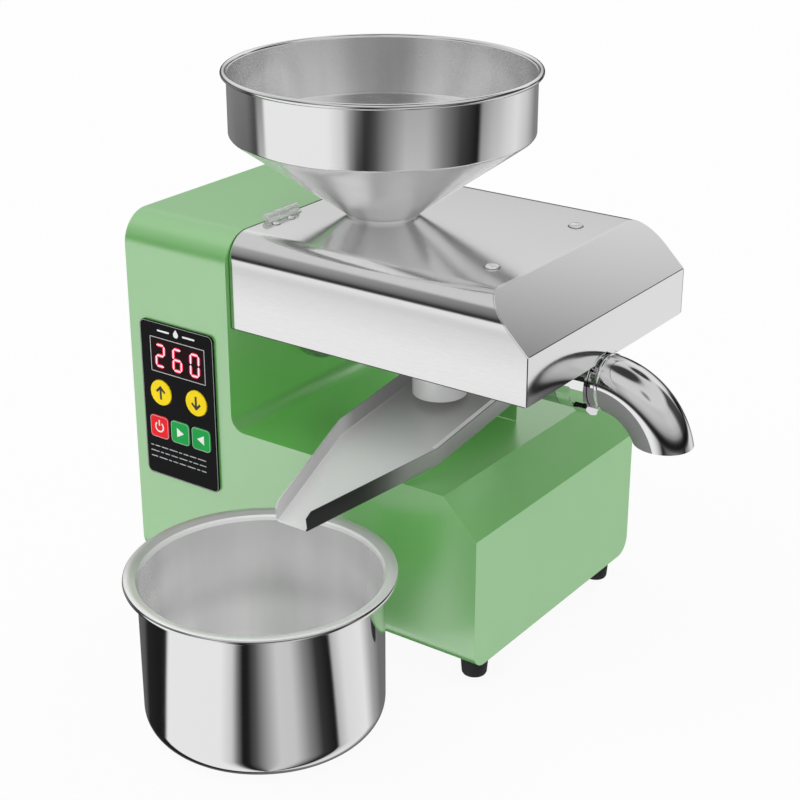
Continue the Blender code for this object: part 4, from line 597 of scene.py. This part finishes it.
def make_body():
    sheet = 1.2
    outer = scratch(prism_mesh("body", [body_loop(0)], "XZ", 0, BODY_DEPTH))
    section = scratch(prism_mesh("section", [body_section(0)], "YZ", -2, BODY_LENGTH + 2))
    hollow = scratch(prism_mesh("hollow", [body_loop(sheet)], "XZ", -2, BODY_DEPTH + 2))
    inner = scratch(prism_mesh("inner", [body_section(sheet)], "YZ", -8, BODY_LENGTH + 2))
    holes = [carve(hollow, [("INTERSECT", inner)], "hollow_solid"),
             block_mesh("underside", (8, 16, -2), (BODY_LENGTH - 8, 152, 16.5)),
             rod_mesh("shaft", (70, AXIS_Y, AXIS_Z), 8, 12, True),
             block_mesh("panel_hole", (12.6, -3, 76.5), (60.2, 3, 161)),
             block_mesh("inlet_hole", (23.2, 164, 37.7), (50.8, 170, 58.3))]
    for k in range(8):
        holes.append(prism_mesh("vent", [rectangle(150 + 8 * k, 64, 3.2, 34, 1.55)], "XZ", 164, 170))
    carved = carve(outer, [("INTERSECT", section)] + cuts(holes), "painted_body")
    body = piece("painted_body", carved, [green], "base", 28)
    soften(body, 0.55, 3, 40)
    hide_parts("body_shell")


def make_feet():
    profile = [(0, 12.7), (6.6, 12.7), (7.4, 12.2), (7.7, 11.2), (7.2, 4.5), (6.9, 1.2), (6.4, 0.3),
               (5.7, 0.0), (3.9, 0.0), (3.5, 0.5), (3.4, 4.0), (0, 4.0)]
    for k, (x, y) in enumerate([(11, 17.5), (11, 150.5), (227.5, 17.5), (227.5, 150.5)]):
        foot = lathe(f"rubber_foot_{k + 1}", profile, place(x, y, 0), [rubber], "base", steps=48)
        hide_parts(f"foot_{k + 1}")


# Hood: a bent front and top sheet, and a folded slope and end wall, with open seams between them

def hood_arch(a, bottom):
    """The hood's outline from the side, moved in by an amount."""
    front, back, top, radius = HOOD_FRONT + a, BODY_DEPTH - a, BODY_TOP - a, HOOD_RADIUS - a
    return rounded([(front, bottom, 0), (back, bottom, 0), (back, top, radius), (front, top, radius)], 24)


def arch_solid(a, bottom, extra):
    """The arch from end to end of the hood and a little beyond."""
    return scratch(prism_mesh("arch", [hood_arch(a, bottom)], "YZ", HOOD_LEFT - extra, HOOD_RIGHT + extra))


def mouth_mesh():
    """What the hood's end leaves open round the elbow."""
    return rod_mesh("mouth", (255, AXIS_Y, AXIS_Z), 15, MOUTH_RADIUS, True)


def hood_sheet_mesh(outline, hollow_outline):
    """The bent front and top sheet with the cuts for the hopper's neck, the elbow and the hinges."""
    outer = scratch(prism_mesh("sheet", [outline], "XZ", HOOD_FRONT - 1, BODY_DEPTH + 1))
    hollow = scratch(prism_mesh("inside", [hollow_outline], "XZ", HOOD_FRONT - 4, BODY_DEPTH + 4))
    holes = [carve(hollow, [("INTERSECT", arch_solid(1.0, HOOD_BOTTOM - 3, 5))], "inside_solid"),
             rod_mesh("neck", (HOPPER_X, AXIS_Y, 215), 20, 19.95, False), mouth_mesh()]
    for middle in (AXIS_Y - HINGE_Y, AXIS_Y + HINGE_Y):
        holes.append(block_mesh("notch", (70, middle - 13.8, 220), (77.7, middle + 13.8, 230)))
    return carve(outer, [("INTERSECT", arch_solid(0, HOOD_BOTTOM, 2))] + cuts(holes), "hood_sheet")


def hood_end_mesh(outline):
    """The folded slope and end wall, trimmed to the hood's arch with a small reveal."""
    outer = scratch(prism_mesh("end", [outline], "XZ", HOOD_FRONT - 1, BODY_DEPTH + 1))
    return carve(outer, [("INTERSECT", arch_solid(0.25, HOOD_BOTTOM, 2))] + cuts([mouth_mesh()]), "hood_end")


def make_hood():
    top, seam, sheet = BODY_TOP, 0.35, 1.0
    slope_top = HOOD_RIGHT - SLOPE_RUN
    slope_foot = top - SLOPE_DROP
    edge = slope_top - seam * 1.6
    main = [(HOOD_LEFT, HOOD_BOTTOM), (HOOD_RIGHT - seam, HOOD_BOTTOM),
            (HOOD_RIGHT - seam, slope_foot - seam), (edge, top), (HOOD_LEFT, top)]
    inner = [(HOOD_LEFT - 4, HOOD_BOTTOM - 4), (HOOD_RIGHT + 4, HOOD_BOTTOM - 4),
             (HOOD_RIGHT + 4, slope_foot), (HOOD_RIGHT + 4, top + 8), (edge, top + 8), (edge, top - sheet),
             (HOOD_LEFT - 4, top - sheet)]
    bent = piece("hood_sheet", hood_sheet_mesh(main, inner), [hood_steel], "hood_body", 28)
    soften(bent, 0.22, 2, 40)
    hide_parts("hood")

    wall = [(HOOD_RIGHT - sheet, HOOD_BOTTOM), (HOOD_RIGHT, HOOD_BOTTOM), (HOOD_RIGHT, slope_foot),
            (slope_top, top), (slope_top - sheet, top - sheet), (HOOD_RIGHT - sheet, slope_foot - 0.4)]
    end = piece("hood_end", hood_end_mesh(wall), [end_steel], "hood_body", 28)
    soften(end, 0.3, 2, 40)


def seat(name, place_on_top, inner, outer, height, steps):
    """A dark hairline of painted shade round a screw or rivet head."""
    profile = [(inner, 0.0), (outer, 0.0), (outer, height), (inner, height)]
    ring = lathe(name, profile, place_on_top, [seam_painted_shade], "hood_body", steps=steps)


def make_hood_screws():
    profile = [(0, 1.75), (1.6, 1.7), (2.7, 1.45), (3.4, 1.0), (3.8, 0.45), (3.85, 0.05), (1.7, 0.02),
               (1.7, -5.2), (0, -5.2)]
    for k, side in enumerate((-1, 1)):
        x, y = 218.0, AXIS_Y + side * 42.2
        spot = place(x, y, BODY_TOP)
        head = lathe(f"pan_screw_{k + 1}", profile, spot, [hinge_steel], "hood_body", steps=40)
        low, high = (x - 5, y - 0.45, BODY_TOP + 0.75), (x + 5, y + 0.45, BODY_TOP + 4)
        slot = scratch(block_mesh("slot", low, high))
        modifier = head.modifiers.new("slot", "BOOLEAN")
        modifier.operation = "DIFFERENCE"
        modifier.object = slot
        carved = evaluated_mesh(head)
        head.modifiers.clear()
        head.data = carved
        bpy.data.objects.remove(slot, do_unlink=True)
        seat(f"screw_seat_{k + 1}", spot, 3.6, 4.35, 0.09, 40)
        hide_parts(f"hood_screw_{k + 1}")


def make_rivets():
    turns = [math.radians(degrees) for degrees in (20, 40, 60, 80, 90)]
    profile = [(0, 1.15)] + [(2.1 * math.sin(t), 0.15 + math.cos(t)) for t in turns]
    profile += [(2.0, 0.05), (1.0, 0.03), (1.0, -2.6), (1.9, -2.6), (1.7, -3.1), (0, -3.1)]
    for number, (way, side) in enumerate(((-1, -1), (-1, 1), (1, -1), (1, 1)), 1):
        spot = place(82.1, AXIS_Y + way * 42.8 + side * 6.4, BODY_TOP)
        rivet = lathe(f"rivet_{number}", profile, spot, [hinge_steel], "hood_body", steps=28)
        seat(f"rivet_seat_{number}", spot, 1.9, 2.5, 0.08, 28)
        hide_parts(f"hinge_rivet_{number}")


def make_hinge_aprons():
    """The bent flap that covers the notch between each hinge and the hood's top sheet."""
    points = [(76.6, 1.3), (77.3, 1.5), (78.2, 0.75), (79.2, 0.7), (79.2, 0.1), (78.0, 0.1), (77.2, 0.2)]
    outline = [(x, BODY_TOP + rise) for x, rise in points]
    for k, middle in enumerate((AXIS_Y - HINGE_Y, AXIS_Y + HINGE_Y)):
        mesh = prism_mesh("apron", [outline], "XZ", middle - 13.4, middle + 13.4)
        flap = piece(f"hinge_apron_{k + 1}", mesh, [hinge_steel], "hood_body", 28)
        soften(flap, 0.15, 2, 40)


def make_seams():
    """Thin dark lines of painted shade where the hood's end is folded and where its front sheet ends, and a
    dark band of painted shade in the gap beside the column.
    """
    slope_foot = BODY_TOP - SLOPE_DROP
    out = HOOD_RIGHT + 0.03
    corner, front, back = out - 0.2, HOOD_FRONT + 0.15, BODY_DEPTH - 0.15
    low, high = HOOD_BOTTOM + 0.4, slope_foot - 0.3
    edge_y, edge_z = HOOD_FRONT + 0.1, HOOD_BOTTOM + 0.12
    lines = [
        ("seam_fold", (out, HOOD_FRONT + 1.2, slope_foot), (out, BODY_DEPTH - 1.2, slope_foot)),
        ("seam_corner", (corner, front, low), (corner, front, high)),
        ("seam_front_edge", (HOOD_LEFT + 0.6, edge_y, edge_z), (HOOD_RIGHT - 0.6, edge_y, edge_z)),
        ("seam_back_corner", (corner, back, low), (corner, back, high)),
    ]
    for name, start, end in lines:
        reach = place(*end) - place(*start)
        length = reach.length / MM
        profile = [(0, 0), (0.16, 0.05), (0.26, 0.3)]
        profile += [(radius, length - height) for radius, height in reversed(profile)]
        seam = lathe(name, profile, (0, 0, 0), [seam_painted_shade], "hood_body", steps=12)
        turn = reach.to_track_quat("Z", "X").to_matrix().to_4x4()
        seam.data.transform(Matrix.Translation(place(*start)) @ turn)
    loops = [hood_arch(-0.12, HOOD_BOTTOM), hood_arch(0.5, HOOD_BOTTOM - 0.1)]
    # A thin dark green band in the gap beside the column paints the shade there
    gap = piece("column_gap", prism_mesh("column_gap", loops, "YZ", 73.8, 74.5), [gap_painted_shade], "base", 0)


# Hopper, pan, elbow and chute

def make_hopper():
    outer_r, wall, top, bead = 84.5, 0.7, 307.7, 1.7
    cone_top, cone_low, neck = 272.7, 226.0, 19.6
    lip = arc(outer_r + 1.5, top - bead, bead, 170, -150, 16)
    outer = [(outer_r, 305.0), (outer_r, cone_top + 0.6), (outer_r - 0.15, cone_top),
             (outer_r - 0.8, cone_top - 0.9), (neck + 1.6, cone_low + 0.75), (neck + 0.5, cone_low - 0.6),
             (neck, cone_low - 2.2), (neck, 190.4)]
    inner = [(neck - wall, 190.4), (neck - wall, cone_low - 1.8), (neck + 0.2, cone_low),
             (outer_r - 2.0, cone_top - 0.4), (outer_r - wall - 0.1, cone_top + 0.9),
             (outer_r - wall, cone_top + 2), (outer_r - wall, 306.0)]
    # The inside and the cone take metals with painted reflections and shade
    outside, inside, cone = 0, 1, 2
    slots = [outside] * (len(lip) + 2) + [cone] * 5 + [outside] + [inside] * len(inner)
    steels = [hopper_outside, hopper_inside, hopper_cone]
    hopper = lathe("spun_hopper", lip + outer + inner, place(HOPPER_X, AXIS_Y, 0), steels, "hopper_body",
                   steps=160, slots=slots, angle=32)
    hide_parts("hopper")


def make_pan():
    r, rim, top, wall, corner = 62.8, 69.9, 86.5, 0.8, 13.0
    outside = [(0, 0)] + arc(r - corner, corner, corner, -90, 0, 14)
    outside += [(r, top - 4.6), (r + 0.5, top - 3.4), (r + 1.6, top - 2.4)]
    bead = [(rim - 2.8, top - 1.9), (rim - 1.9, top - 2.5), (rim - 1.0, top - 2.9), (rim - 0.3, top - 2.5),
            (rim, top - 1.6), (rim - 0.15, top - 0.8), (rim - 0.6, top - 0.2), (rim - 1.3, top)]
    flange = [(r + 3.4, top - 0.1), (r + 2.9, top - 0.3), (r + 0.5, top - 1.3), (r - 0.4, top - 2.2),
              (r - wall, top - 4.0)]
    inside = [(r - wall, corner)] + arc(r - corner, corner, corner - wall, 0, -90, 14)[1:] + [(0, wall)]
    # The rim's satin part and shade ring carry painted reflections, and the inside carries painted
    # reflection by height
    slots = [0] * (len(outside) + len(bead) - 2) + [2] * 4 + [3] * 2 + [1] * len(inside)
    steels = [pan_outside, pan_inside, rim_satin, rim_shade]
    pan = lathe("spun_pan", outside + bead + flange + inside, place(PAN_X, PAN_Y, 0), steels, "pan_body",
                steps=180, slots=slots, angle=32)
    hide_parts("oil_pan")


def make_elbow():
    """A bent pipe whose mouth is cut level, with the ring that stops it at the barrel's end."""
    radius, wall, bend_radius, sides = 15.4, 1.2, 37.45, 72
    bend_x = HOOD_RIGHT - 0.2
    path = [(Vector((x, AXIS_Y, AXIS_Z)), 0.0) for x in (261.3, 261.9, 264.4)]
    for degrees in range(1, 85):
        a = math.radians(degrees)
        x, z = bend_x + bend_radius * math.sin(a), AXIS_Z - bend_radius * (1 - math.cos(a))
        path.append((Vector((x, AXIS_Y, z)), a))
    turns = [2 * math.pi * k / sides for k in range(sides)]
    bm = bmesh.new()
    skins = []
    for reach in (radius, radius - wall):
        rings = []
        for centre, a in path:
            out = Vector((math.sin(a), 0, math.cos(a)))
            points = [centre + (out * math.cos(t) + Vector((0, 1, 0)) * math.sin(t)) * reach for t in turns]
            rings.append([bm.verts.new(p * MM + ORIGIN) for p in points])
        skins.append(rings)
    outside, inside = skins
    for skin in skins:
        for first, second in zip(skin, skin[1:]):
            for k in range(sides):
                n = (k + 1) % sides
                face = bm.faces.new((first[k], first[n], second[n], second[k]))
                # Faces on the lower side take the dark material, as painted shade
                faces_down = math.cos(2 * math.pi * (k + 0.5) / sides) < 0.13
                face.material_index = 1 if skin is inside else 2 if faces_down else 0
    for k in range(sides):
        n = (k + 1) % sides
        bm.faces.new((outside[0][k], outside[0][n], inside[0][n], inside[0][k]))
    everything = list(bm.verts) + list(bm.edges) + list(bm.faces)
    bmesh.ops.bisect_plane(bm, geom=everything, dist=1e-8, plane_co=(0, 0, ELBOW_FOOT * MM),
                           plane_no=UP, clear_inner=True)
    bmesh.ops.bridge_loops(bm, edges=[edge for edge in bm.edges if edge.is_boundary])
    steels = [chrome, plain_steel, underside]
    elbow = piece("bent_elbow", mesh_from(bm, "bent_elbow"), steels, "elbow_body", 40)
    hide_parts("residue_elbow")
    crown = [(radius - 0.2 + 0.7 * math.sin(math.radians(d)), 1.3 + 1.3 * math.cos(math.radians(d)))
             for d in range(0, 181, 15)]
    bead = [(radius - 0.3, 2.6)] + crown + [(radius - 0.3, 0.0)]
    ring = lathe("elbow_bead", bead, place(264.65, AXIS_Y, AXIS_Z), [chrome], "elbow_body", "X", 72)


def make_chute():
    """A folded sheet trough with crisp bends and a folded leg on the deck."""
    foot_z = DECK + 0.3
    floor_z = foot_z + 1.06
    bend, steps = 0.8, 4
    up = Vector((0, -CHUTE_SLOPE, 1)).normalized()
    length = CHUTE_KINK_Y - CHUTE_TIP_Y

    def on_floor(y):
        return Vector((CHUTE_X, y, floor_z + CHUTE_SLOPE * y))

    def half_width(y):
        share = min((y - CHUTE_TIP_Y) / length, 1.0)
        return CHUTE_HALF_TIP + share * (CHUTE_HALF_WIDE - CHUTE_HALF_TIP)

    def section(y, height):
        half = half_width(y)
        across = [(-half, height)] + arc(bend - half, bend, bend, 180, 270, steps)
        across += arc(half - bend, bend, bend, 270, 360, steps) + [(half, height)]
        return [on_floor(y) + Vector((u, 0, 0)) + up * v for u, v in across]

    bm = bmesh.new()
    stations = [(y, CHUTE_WALL) for y in (CHUTE_BACK_Y, 60.0, CHUTE_KINK_Y, -10.0, CHUTE_TIP_Y + CHUTE_SNIP)]
    stations.append((CHUTE_TIP_Y, CHUTE_WALL * 0.7))
    rows = [[bm.verts.new(p * MM + ORIGIN) for p in section(*station)] for station in stations]
    far_wall, floor, near_wall, leg = 0, 1, 2, 3
    for first, second in zip(rows, rows[1:]):
        for k in range(len(first) - 1):
            face = bm.faces.new((first[k], second[k], second[k + 1], first[k + 1]))
            face.material_index = far_wall if k == 0 else floor if k < steps + 2 else near_wall
    left, right = rows[0][steps + 1], rows[0][steps + 2]
    foot = [bm.verts.new((v.co.x, v.co.y, foot_z * MM)) for v in (left, right)]
    bm.faces.new((left, right, foot[1], foot[0])).material_index = leg
    mesh = mesh_from(bm, "folded_chute")
    # The far wall, floor and near wall carry painted shade and reflection along the chute
    chute = piece("folded_chute", mesh, [chute_steel, chute_floor, chute_wall, hood_steel], "chute_body", 22)
    shell = chute.modifiers.new("sheet", "SOLIDIFY")
    shell.thickness = 1.0 * MM
    shell.offset = 1.0 if mesh.polygons[steps + 1].normal.z < 0 else -1.0
    shell.use_even_offset = True
    soften(chute, 0.12, 1, 50)
    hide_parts("oil_chute")

    # The hem: a pale strip on the near wall's top edge that paints its highlight
    bm = bmesh.new()
    corners = []
    for y in (CHUTE_KINK_Y + 0.6, CHUTE_BACK_Y - 1):
        base = on_floor(y) + up * (CHUTE_WALL - 0.05)
        for inward, rise in ((-0.9, 0.0), (3.1, -0.5), (3.1, -0.9), (-0.9, -0.5)):
            point = base + Vector((CHUTE_HALF_WIDE - inward, 0, 0)) + up * rise
            corners.append(bm.verts.new(point * MM + ORIGIN))
    for k in range(4):
        n = (k + 1) % 4
        bm.faces.new((corners[k], corners[n], corners[n + 4], corners[k + 4]))
    bm.faces.new(corners[:4])
    bm.faces.new(corners[4:])
    hem = piece("chute_hem", mesh_from(bm, "chute_hem"), [hem_steel], "chute_body", 22)


def make_drain_collar():
    """The smooth sleeve pressed over the barrel's oil collar."""
    profile = [(12.9, 126.45), (13.1, 126.25), (15.3, 126.25), (15.55, 126.5), (15.55, 141.0),
               (15.25, 141.0), (15.25, 126.6), (12.9, 126.6)]
    sleeve = lathe("drain_sleeve", profile, place(DRAIN_X, AXIS_Y, 0), [collar_steel], "base", steps=72)


# Panel graphics

def decal(name, loops, y, material, body="base"):
    """A thin printed shape on the panel, its back at depth y."""
    return piece(name, prism_mesh(name, loops, "XZ", y - 0.04, y), [material], body, 0)


def frame_loops(cu, cv, width, height, radius, line):
    outer = rectangle(cu, cv, width, height, radius)
    inner = rectangle(cu, cv, width - 2 * line, height - 2 * line, max(radius - line, 0.05))
    return [outer, inner]


def make_panel_print():
    face, cap = PANEL_FACE - 0.01, KEY_FACE - 0.01
    border = frame_loops(PANEL_X, PANEL_Z, 54.1, 95.4, 3.2, 0.22)
    decal("panel_border", border, face, print_grey)
    window = frame_loops(PANEL_X + 0.5, 145.4, 41.0, 21.4, 0.4, 0.45)
    decal("display_frame", window, face, print_grey)
    arrow = [(-0.75, -4.2), (0.75, -4.2), (0.75, 1.6), (2.7, -0.2), (3.6, 0.9), (0, 4.4), (-3.6, 0.9),
             (-2.7, -0.2), (-0.75, 1.6)]
    for name, way in (("key_temperature_up", 1), ("key_temperature_down", -1)):
        x = PANEL_X - ROUND_KEY_X * way
        shape = [(x + u, ROUND_KEY_Z + v * way) for u, v in arrow[::way]]
        decal(name + "_arrow", [shape], cap, print_black, name + "_body")
    x, z = PANEL_X - SQUARE_KEY_X, SQUARE_KEY_Z
    ring = arc(x, z, 3.4, 52, -232, 30) + arc(x, z, 2.5, -232, 52, 30)
    decal("power_ring", [ring], cap, print_white, "key_power_body")
    bar = rectangle(x, z + 2.5, 0.9, 3.6, 0.2, 3)
    decal("power_bar", [bar], cap, print_white, "key_power_body")
    for name, x, way in (("key_forward", PANEL_X, 1), ("key_reverse", PANEL_X + SQUARE_KEY_X, -1)):
        shape = [(x - 2.3 * way, z - 2.9), (x + 2.9 * way, z), (x - 2.3 * way, z + 2.9)]
        decal(name + "_arrow", [shape], cap, print_white, name + "_body")
    for number, name in enumerate(("key_power", "key_forward", "key_reverse")):
        rim = frame_loops(PANEL_X + SQUARE_KEY_X * (number - 1), z, 13.4, 13.4, 2.1, 0.3)
        decal(name + "_rim", rim, cap, print_grey, name + "_body")


def make_panel_marks():
    """A drop between two bars above the display, and three rows of short dashes below the keys."""
    face, top = PANEL_FACE - 0.01, 160.4
    drop = arc(PANEL_X, top, 1.9, -220, 40, 10) + [(PANEL_X, top + 3.2)]
    bars = [rectangle(PANEL_X + side * 9.5, top, 9.0, 1.1, 0.4, 3) for side in (-1, 1)]
    decal("panel_drop", [drop], face, print_white)
    decal("panel_bars", bars, face, print_white)
    dashes = []
    for row in range(3):
        x, k = PANEL_X - 24.0, 0
        while x < PANEL_X + 18.0:
            length = 2.4 + 1.3 * ((5 * k + 3 * row) % 4)
            dashes.append(rectangle(x + length / 2, 87.2 - 3.5 * row, length, 0.55, 0.2, 2))
            x += length + 1.1
            k += 1
    decal("panel_dashes", dashes, face, print_grey)


SEGMENTS = {"0": "abcdef", "2": "abged", "6": "afgedc"}
DIGIT_Z = 138.6
DIGIT_HEIGHT = 13.0
DIGIT_WIDTH = 5.9
DIGIT_PITCH = 13.0
DIGIT_LEAN = 0.03


def digit_bars(text, x, line):
    """The lit bars of one seven-segment digit, each as a closed loop."""
    h, w = DIGIT_HEIGHT / 2, DIGIT_WIDTH
    ends = {
        "a": ((0, 2 * h), (w, 2 * h)), "g": ((0, h), (w, h)), "d": ((0, 0), (w, 0)),
        "f": ((0, h), (0, 2 * h)), "b": ((w, h), (w, 2 * h)), "e": ((0, 0), (0, h)), "c": ((w, 0), (w, h)),
    }
    loops = []
    for letter in SEGMENTS[text]:
        first, second = (Vector(p) for p in ends[letter])
        way = (second - first).normalized()
        side = Vector((-way.y, way.x)) * line / 2
        a, b = first + way * 0.3, second - way * 0.3
        c, d = a + way * line / 2, b - way * line / 2
        loop = [a, c - side, d - side, b, d + side, c + side]
        loops.append([(x + p.x + p.y * DIGIT_LEAN, DIGIT_Z + p.y) for p in loop])
    return loops


def make_digits():
    for k, text in enumerate("260"):
        x = PANEL_X - 15.8 + DIGIT_PITCH * k
        for number, loop in enumerate(digit_bars(text, x, 0.95)):
            core = decal(f"digit_{k + 1}_{number + 1}", [loop], PANEL_FACE - 0.05, digit_core)
        for number, loop in enumerate(digit_bars(text, x, 2.3)):
            depth = PANEL_FACE - 0.01 - 0.001 * number
            halo = decal(f"digit_glow_{k + 1}_{number + 1}", [loop], depth, digit_halo)


# Stage, light and camera

def by_ray(tree, kind, plain, chosen):
    """One shader for most rays and another for rays of a kind."""
    light_path = add(tree, "ShaderNodeLightPath")
    node = add(tree, "ShaderNodeMixShader")
    wire(light_path.outputs[kind], node.inputs["Fac"])
    wire(plain, node.inputs[1])
    wire(chosen, node.inputs[2])
    return node.outputs[0]


def make_stage():
    """A floor that takes soft shadows and looks white, and that glossy rays don't see."""
    bpy.ops.mesh.primitive_plane_add(size=6.0, location=(0, 0, -0.0002))
    floor = bpy.context.object
    floor.name = "floor"
    made, tree, shader = new_material("floor")
    shader.inputs["Base Color"].default_value = (*grey(0.85), 1)
    shader.inputs["Roughness"].default_value = 0.8
    shader.inputs["Specular IOR Level"].default_value = 0.0
    white = add(tree, "ShaderNodeEmission", Color=(*grey(1), 1), Strength=1.0)
    seen = add(tree, "ShaderNodeMixShader", Fac=0.9)
    wire(shader.outputs[0], seen.inputs[1])
    wire(white.outputs[0], seen.inputs[2])
    surface = by_ray(tree, "Is Camera Ray", shader.outputs[0], seen.outputs[0])
    clear = add(tree, "ShaderNodeBsdfTransparent")
    surface = by_ray(tree, "Is Glossy Ray", surface, clear.outputs[0])
    wire(surface, tree.nodes["Material Output"].inputs["Surface"])
    floor.data.materials.append(made)


def make_world():
    """A studio that glossy rays see as bright and dark walls, and that lights the rest evenly."""
    world = bpy.data.worlds.new("studio")
    bpy.context.scene.world = world
    world.use_nodes = True
    tree = world.node_tree
    tree.nodes.clear()
    source = add(tree, "ShaderNodeTexCoord")
    turn = add(tree, "ShaderNodeMapping", Rotation=(0, 0, math.radians(90 - CAMERA_AZIMUTH)))
    parts = add(tree, "ShaderNodeSeparateXYZ")
    wire(source.outputs["Generated"], turn.inputs["Vector"])
    wire(turn.outputs[0], parts.inputs[0])
    angle = number_math(tree, "ARCTAN2", parts.outputs["Y"], parts.outputs["X"])
    around = spread(tree, angle, 0.0, 1.0, -math.pi, math.pi)
    rise = number_math(tree, "ARCSINE", parts.outputs["Z"])
    up = spread(tree, rise, 0.0, 1.0, -math.pi / 2, math.pi / 2)

    def band(stops, value, reach):
        """The grey level by an angle that goes so many degrees each way."""
        node = add(tree, "ShaderNodeValToRGB")
        ramp(node, stops, -reach, reach)
        wire(value, node.inputs["Fac"])
        return node.outputs["Color"]

    def blend(first, second, share=None):
        """Two tones mixed by a share, or multiplied where there is no share."""
        node = add(tree, "ShaderNodeMix", data_type="RGBA", blend_type="MULTIPLY")
        node.inputs[0].default_value = 1.0
        if share is not None:
            node.blend_type = "MIX"
            wire(share, node.inputs[0])
        wire(first, node.inputs[6])
        wire(second, node.inputs[7])
        return node.outputs[2]

    def above(low, high):
        """A share that goes from none to all between two heights."""
        return band([(-90, 0), (low, 0), (high, 1), (90, 1)], up, 90)

    walls = blend(band(LOW_WALL, around, 180), band(WALL, around, 180), above(-33, -14))
    walls = blend(walls, band(HIGH_WALL, around, 180), above(-6, 9))
    walls = blend(walls, band(CEILING, up, 90), above(35, 42))
    walls = blend(walls, band(HORIZON, up, 90))
    for middle, rings in PATCHES:
        near = vector_math(tree, "DOT_PRODUCT", turn.outputs[0], facing(*middle))
        away = number_math(tree, "ARCCOSINE", near.outputs["Value"])
        distance = spread(tree, away, 0.5, 1.0, 0.0, math.pi / 2)
        walls = blend(walls, band(rings, distance, 90))
    glossy = add(tree, "ShaderNodeBackground")
    wire(walls, glossy.inputs["Color"])
    soft = add(tree, "ShaderNodeBackground", Color=(*grey(AMBIENT), 1))
    white = add(tree, "ShaderNodeBackground", Color=(*grey(1), 1))
    surface = by_ray(tree, "Is Glossy Ray", soft.outputs[0], glossy.outputs[0])
    surface = by_ray(tree, "Is Camera Ray", surface, white.outputs[0])
    wire(surface, add(tree, "ShaderNodeOutputWorld").inputs["Surface"])


def facing(right, up):
    """The direction that lies so many degrees to the right of the camera and above the horizon."""
    a, e = math.radians(right), math.radians(up)
    return (math.cos(a) * math.cos(e), math.sin(a) * math.cos(e), math.sin(e))


CAMERA_AZIMUTH = 35.46
CAMERA_ELEVATION = 23.29
CAMERA_SPOT = (669.19, -672.69, 514.24)
FOCAL_PIXELS = 1744.26
PICTURE_PIXELS = 800
SENSOR = 36
AMBIENT = 0.47
# The studio's wall: degrees to the right of the camera as seen from the machine, and grey level
WALL = [(-180, 0.23), (-120, 0.24), (-112, 0.13), (-106, 0.06), (-100, 0.04), (-97, 0.92), (-40, 0.92),
        (-30, 0.74), (-21, 0.45), (-13, 0.08), (-9, 0.02), (-4, 0.05), (7, 0.14), (22, 0.20), (36, 0.26),
        (51, 0.14), (66, 0.06), (77, 0.005), (81, 0.20), (96, 0.38), (106, 0.62), (120, 0.80), (134, 0.70),
        (146, 0.40), (154, 0.24), (180, 0.23)]
# The same wall further down
LOW_WALL = [(-180, 0.16), (-150, 0.10), (-141, 0.02), (-116, 0.012), (-109, 0.02), (-105, 0.90), (-42, 0.90),
            (-30, 0.66), (-24, 0.20), (-19, 0.01), (-13, 0.015), (-5, 0.10), (5, 0.34), (18, 0.64),
            (33, 0.62), (47, 0.26), (61, 0.04), (77, 0.005), (80, 0.50), (92, 0.78), (118, 0.86),
            (132, 0.40), (150, 0.17), (180, 0.16)]
# Above the horizon
HIGH_WALL = [(-180, 0.86), (-150, 0.82), (-100, 0.62), (-76, 0.30), (-63, 0.18), (-52, 0.40), (-35, 0.62),
             (-10, 0.60), (24, 0.56), (50, 0.62), (74, 0.58), (84, 0.20), (92, 0.06), (117, 0.07),
             (120, 0.28), (123.5, 0.60), (128, 0.84), (180, 0.86)]
# The ceiling and a dark line round the horizon, by degrees above the horizon
CEILING = [(-90, 0.68), (58, 0.68), (66, 0.64), (70, 0.50), (73, 0.20), (76, 0.05), (90, 0.04)]
HORIZON = [(-90, 1.0), (-6, 1.0), (-3.5, 0.25), (-1, 0.04), (3, 0.04), (6, 0.15), (9, 0.45), (14, 0.75),
           (22, 0.95), (27, 1.0), (90, 1.0)]
# Dark patches of the studio: where they are, and the grey level by degrees from their middle
PATCHES = [((131, 8), [(0, 0.04), (6, 0.06), (9, 1.0), (90, 1.0)]),
           ((146, -7), [(0, 0.04), (5, 0.06), (8, 1.0), (90, 1.0)]),
           ((10, 52), [(0, 0.40), (4, 0.45), (8, 1.0), (90, 1.0)]),
           ((134, 54), [(0, 0.35), (2, 0.05), (8, 0.08), (12, 1.0), (90, 1.0)])]


def make_lights():
    def sun(name, where, level, shadow):
        data = bpy.data.lights.new(name, "SUN")
        data.energy = level * math.pi
        data.angle = math.radians(40)
        data.use_shadow = shadow
        obj = into_scene(name, data)
        obj.rotation_euler = Vector(where).to_track_quat("Z", "Y").to_euler()
        obj.visible_glossy = False

    sun("from_camera", (0.533, -0.748, 0.15), 0.37, False)
    sun("from_top", (-0.15, -0.1, 1), 0.30, False)
    sun("from_right", (1, 0.3, -0.35), 0.28, False)
    sun("from_front_left", (-0.7, -0.6, 0.2), 0.16, False)
    sun("from_back", (-0.2, 1, 0.2), 0.25, False)
    sun("soft_shadow", (-0.5, -0.3, 1), 0.12, True)


def make_camera():
    data = bpy.data.cameras.new("camera")
    data.sensor_width = SENSOR
    data.lens = FOCAL_PIXELS / PICTURE_PIXELS * SENSOR
    camera = into_scene("camera", data)
    camera.location = place(*CAMERA_SPOT)
    camera.rotation_euler = (math.radians(90 - CAMERA_ELEVATION), 0, math.radians(CAMERA_AZIMUTH))
    bpy.context.scene.camera = camera


make_body()
make_feet()
make_hood()
make_hood_screws()
make_rivets()
make_hinge_aprons()
make_seams()
make_hopper()
make_pan()
make_elbow()
make_chute()
make_drain_collar()
make_panel_print()
make_panel_marks()
make_digits()
make_stage()
make_world()
make_lights()
make_camera()
bpy.context.scene.view_settings.view_transform = "Standard"
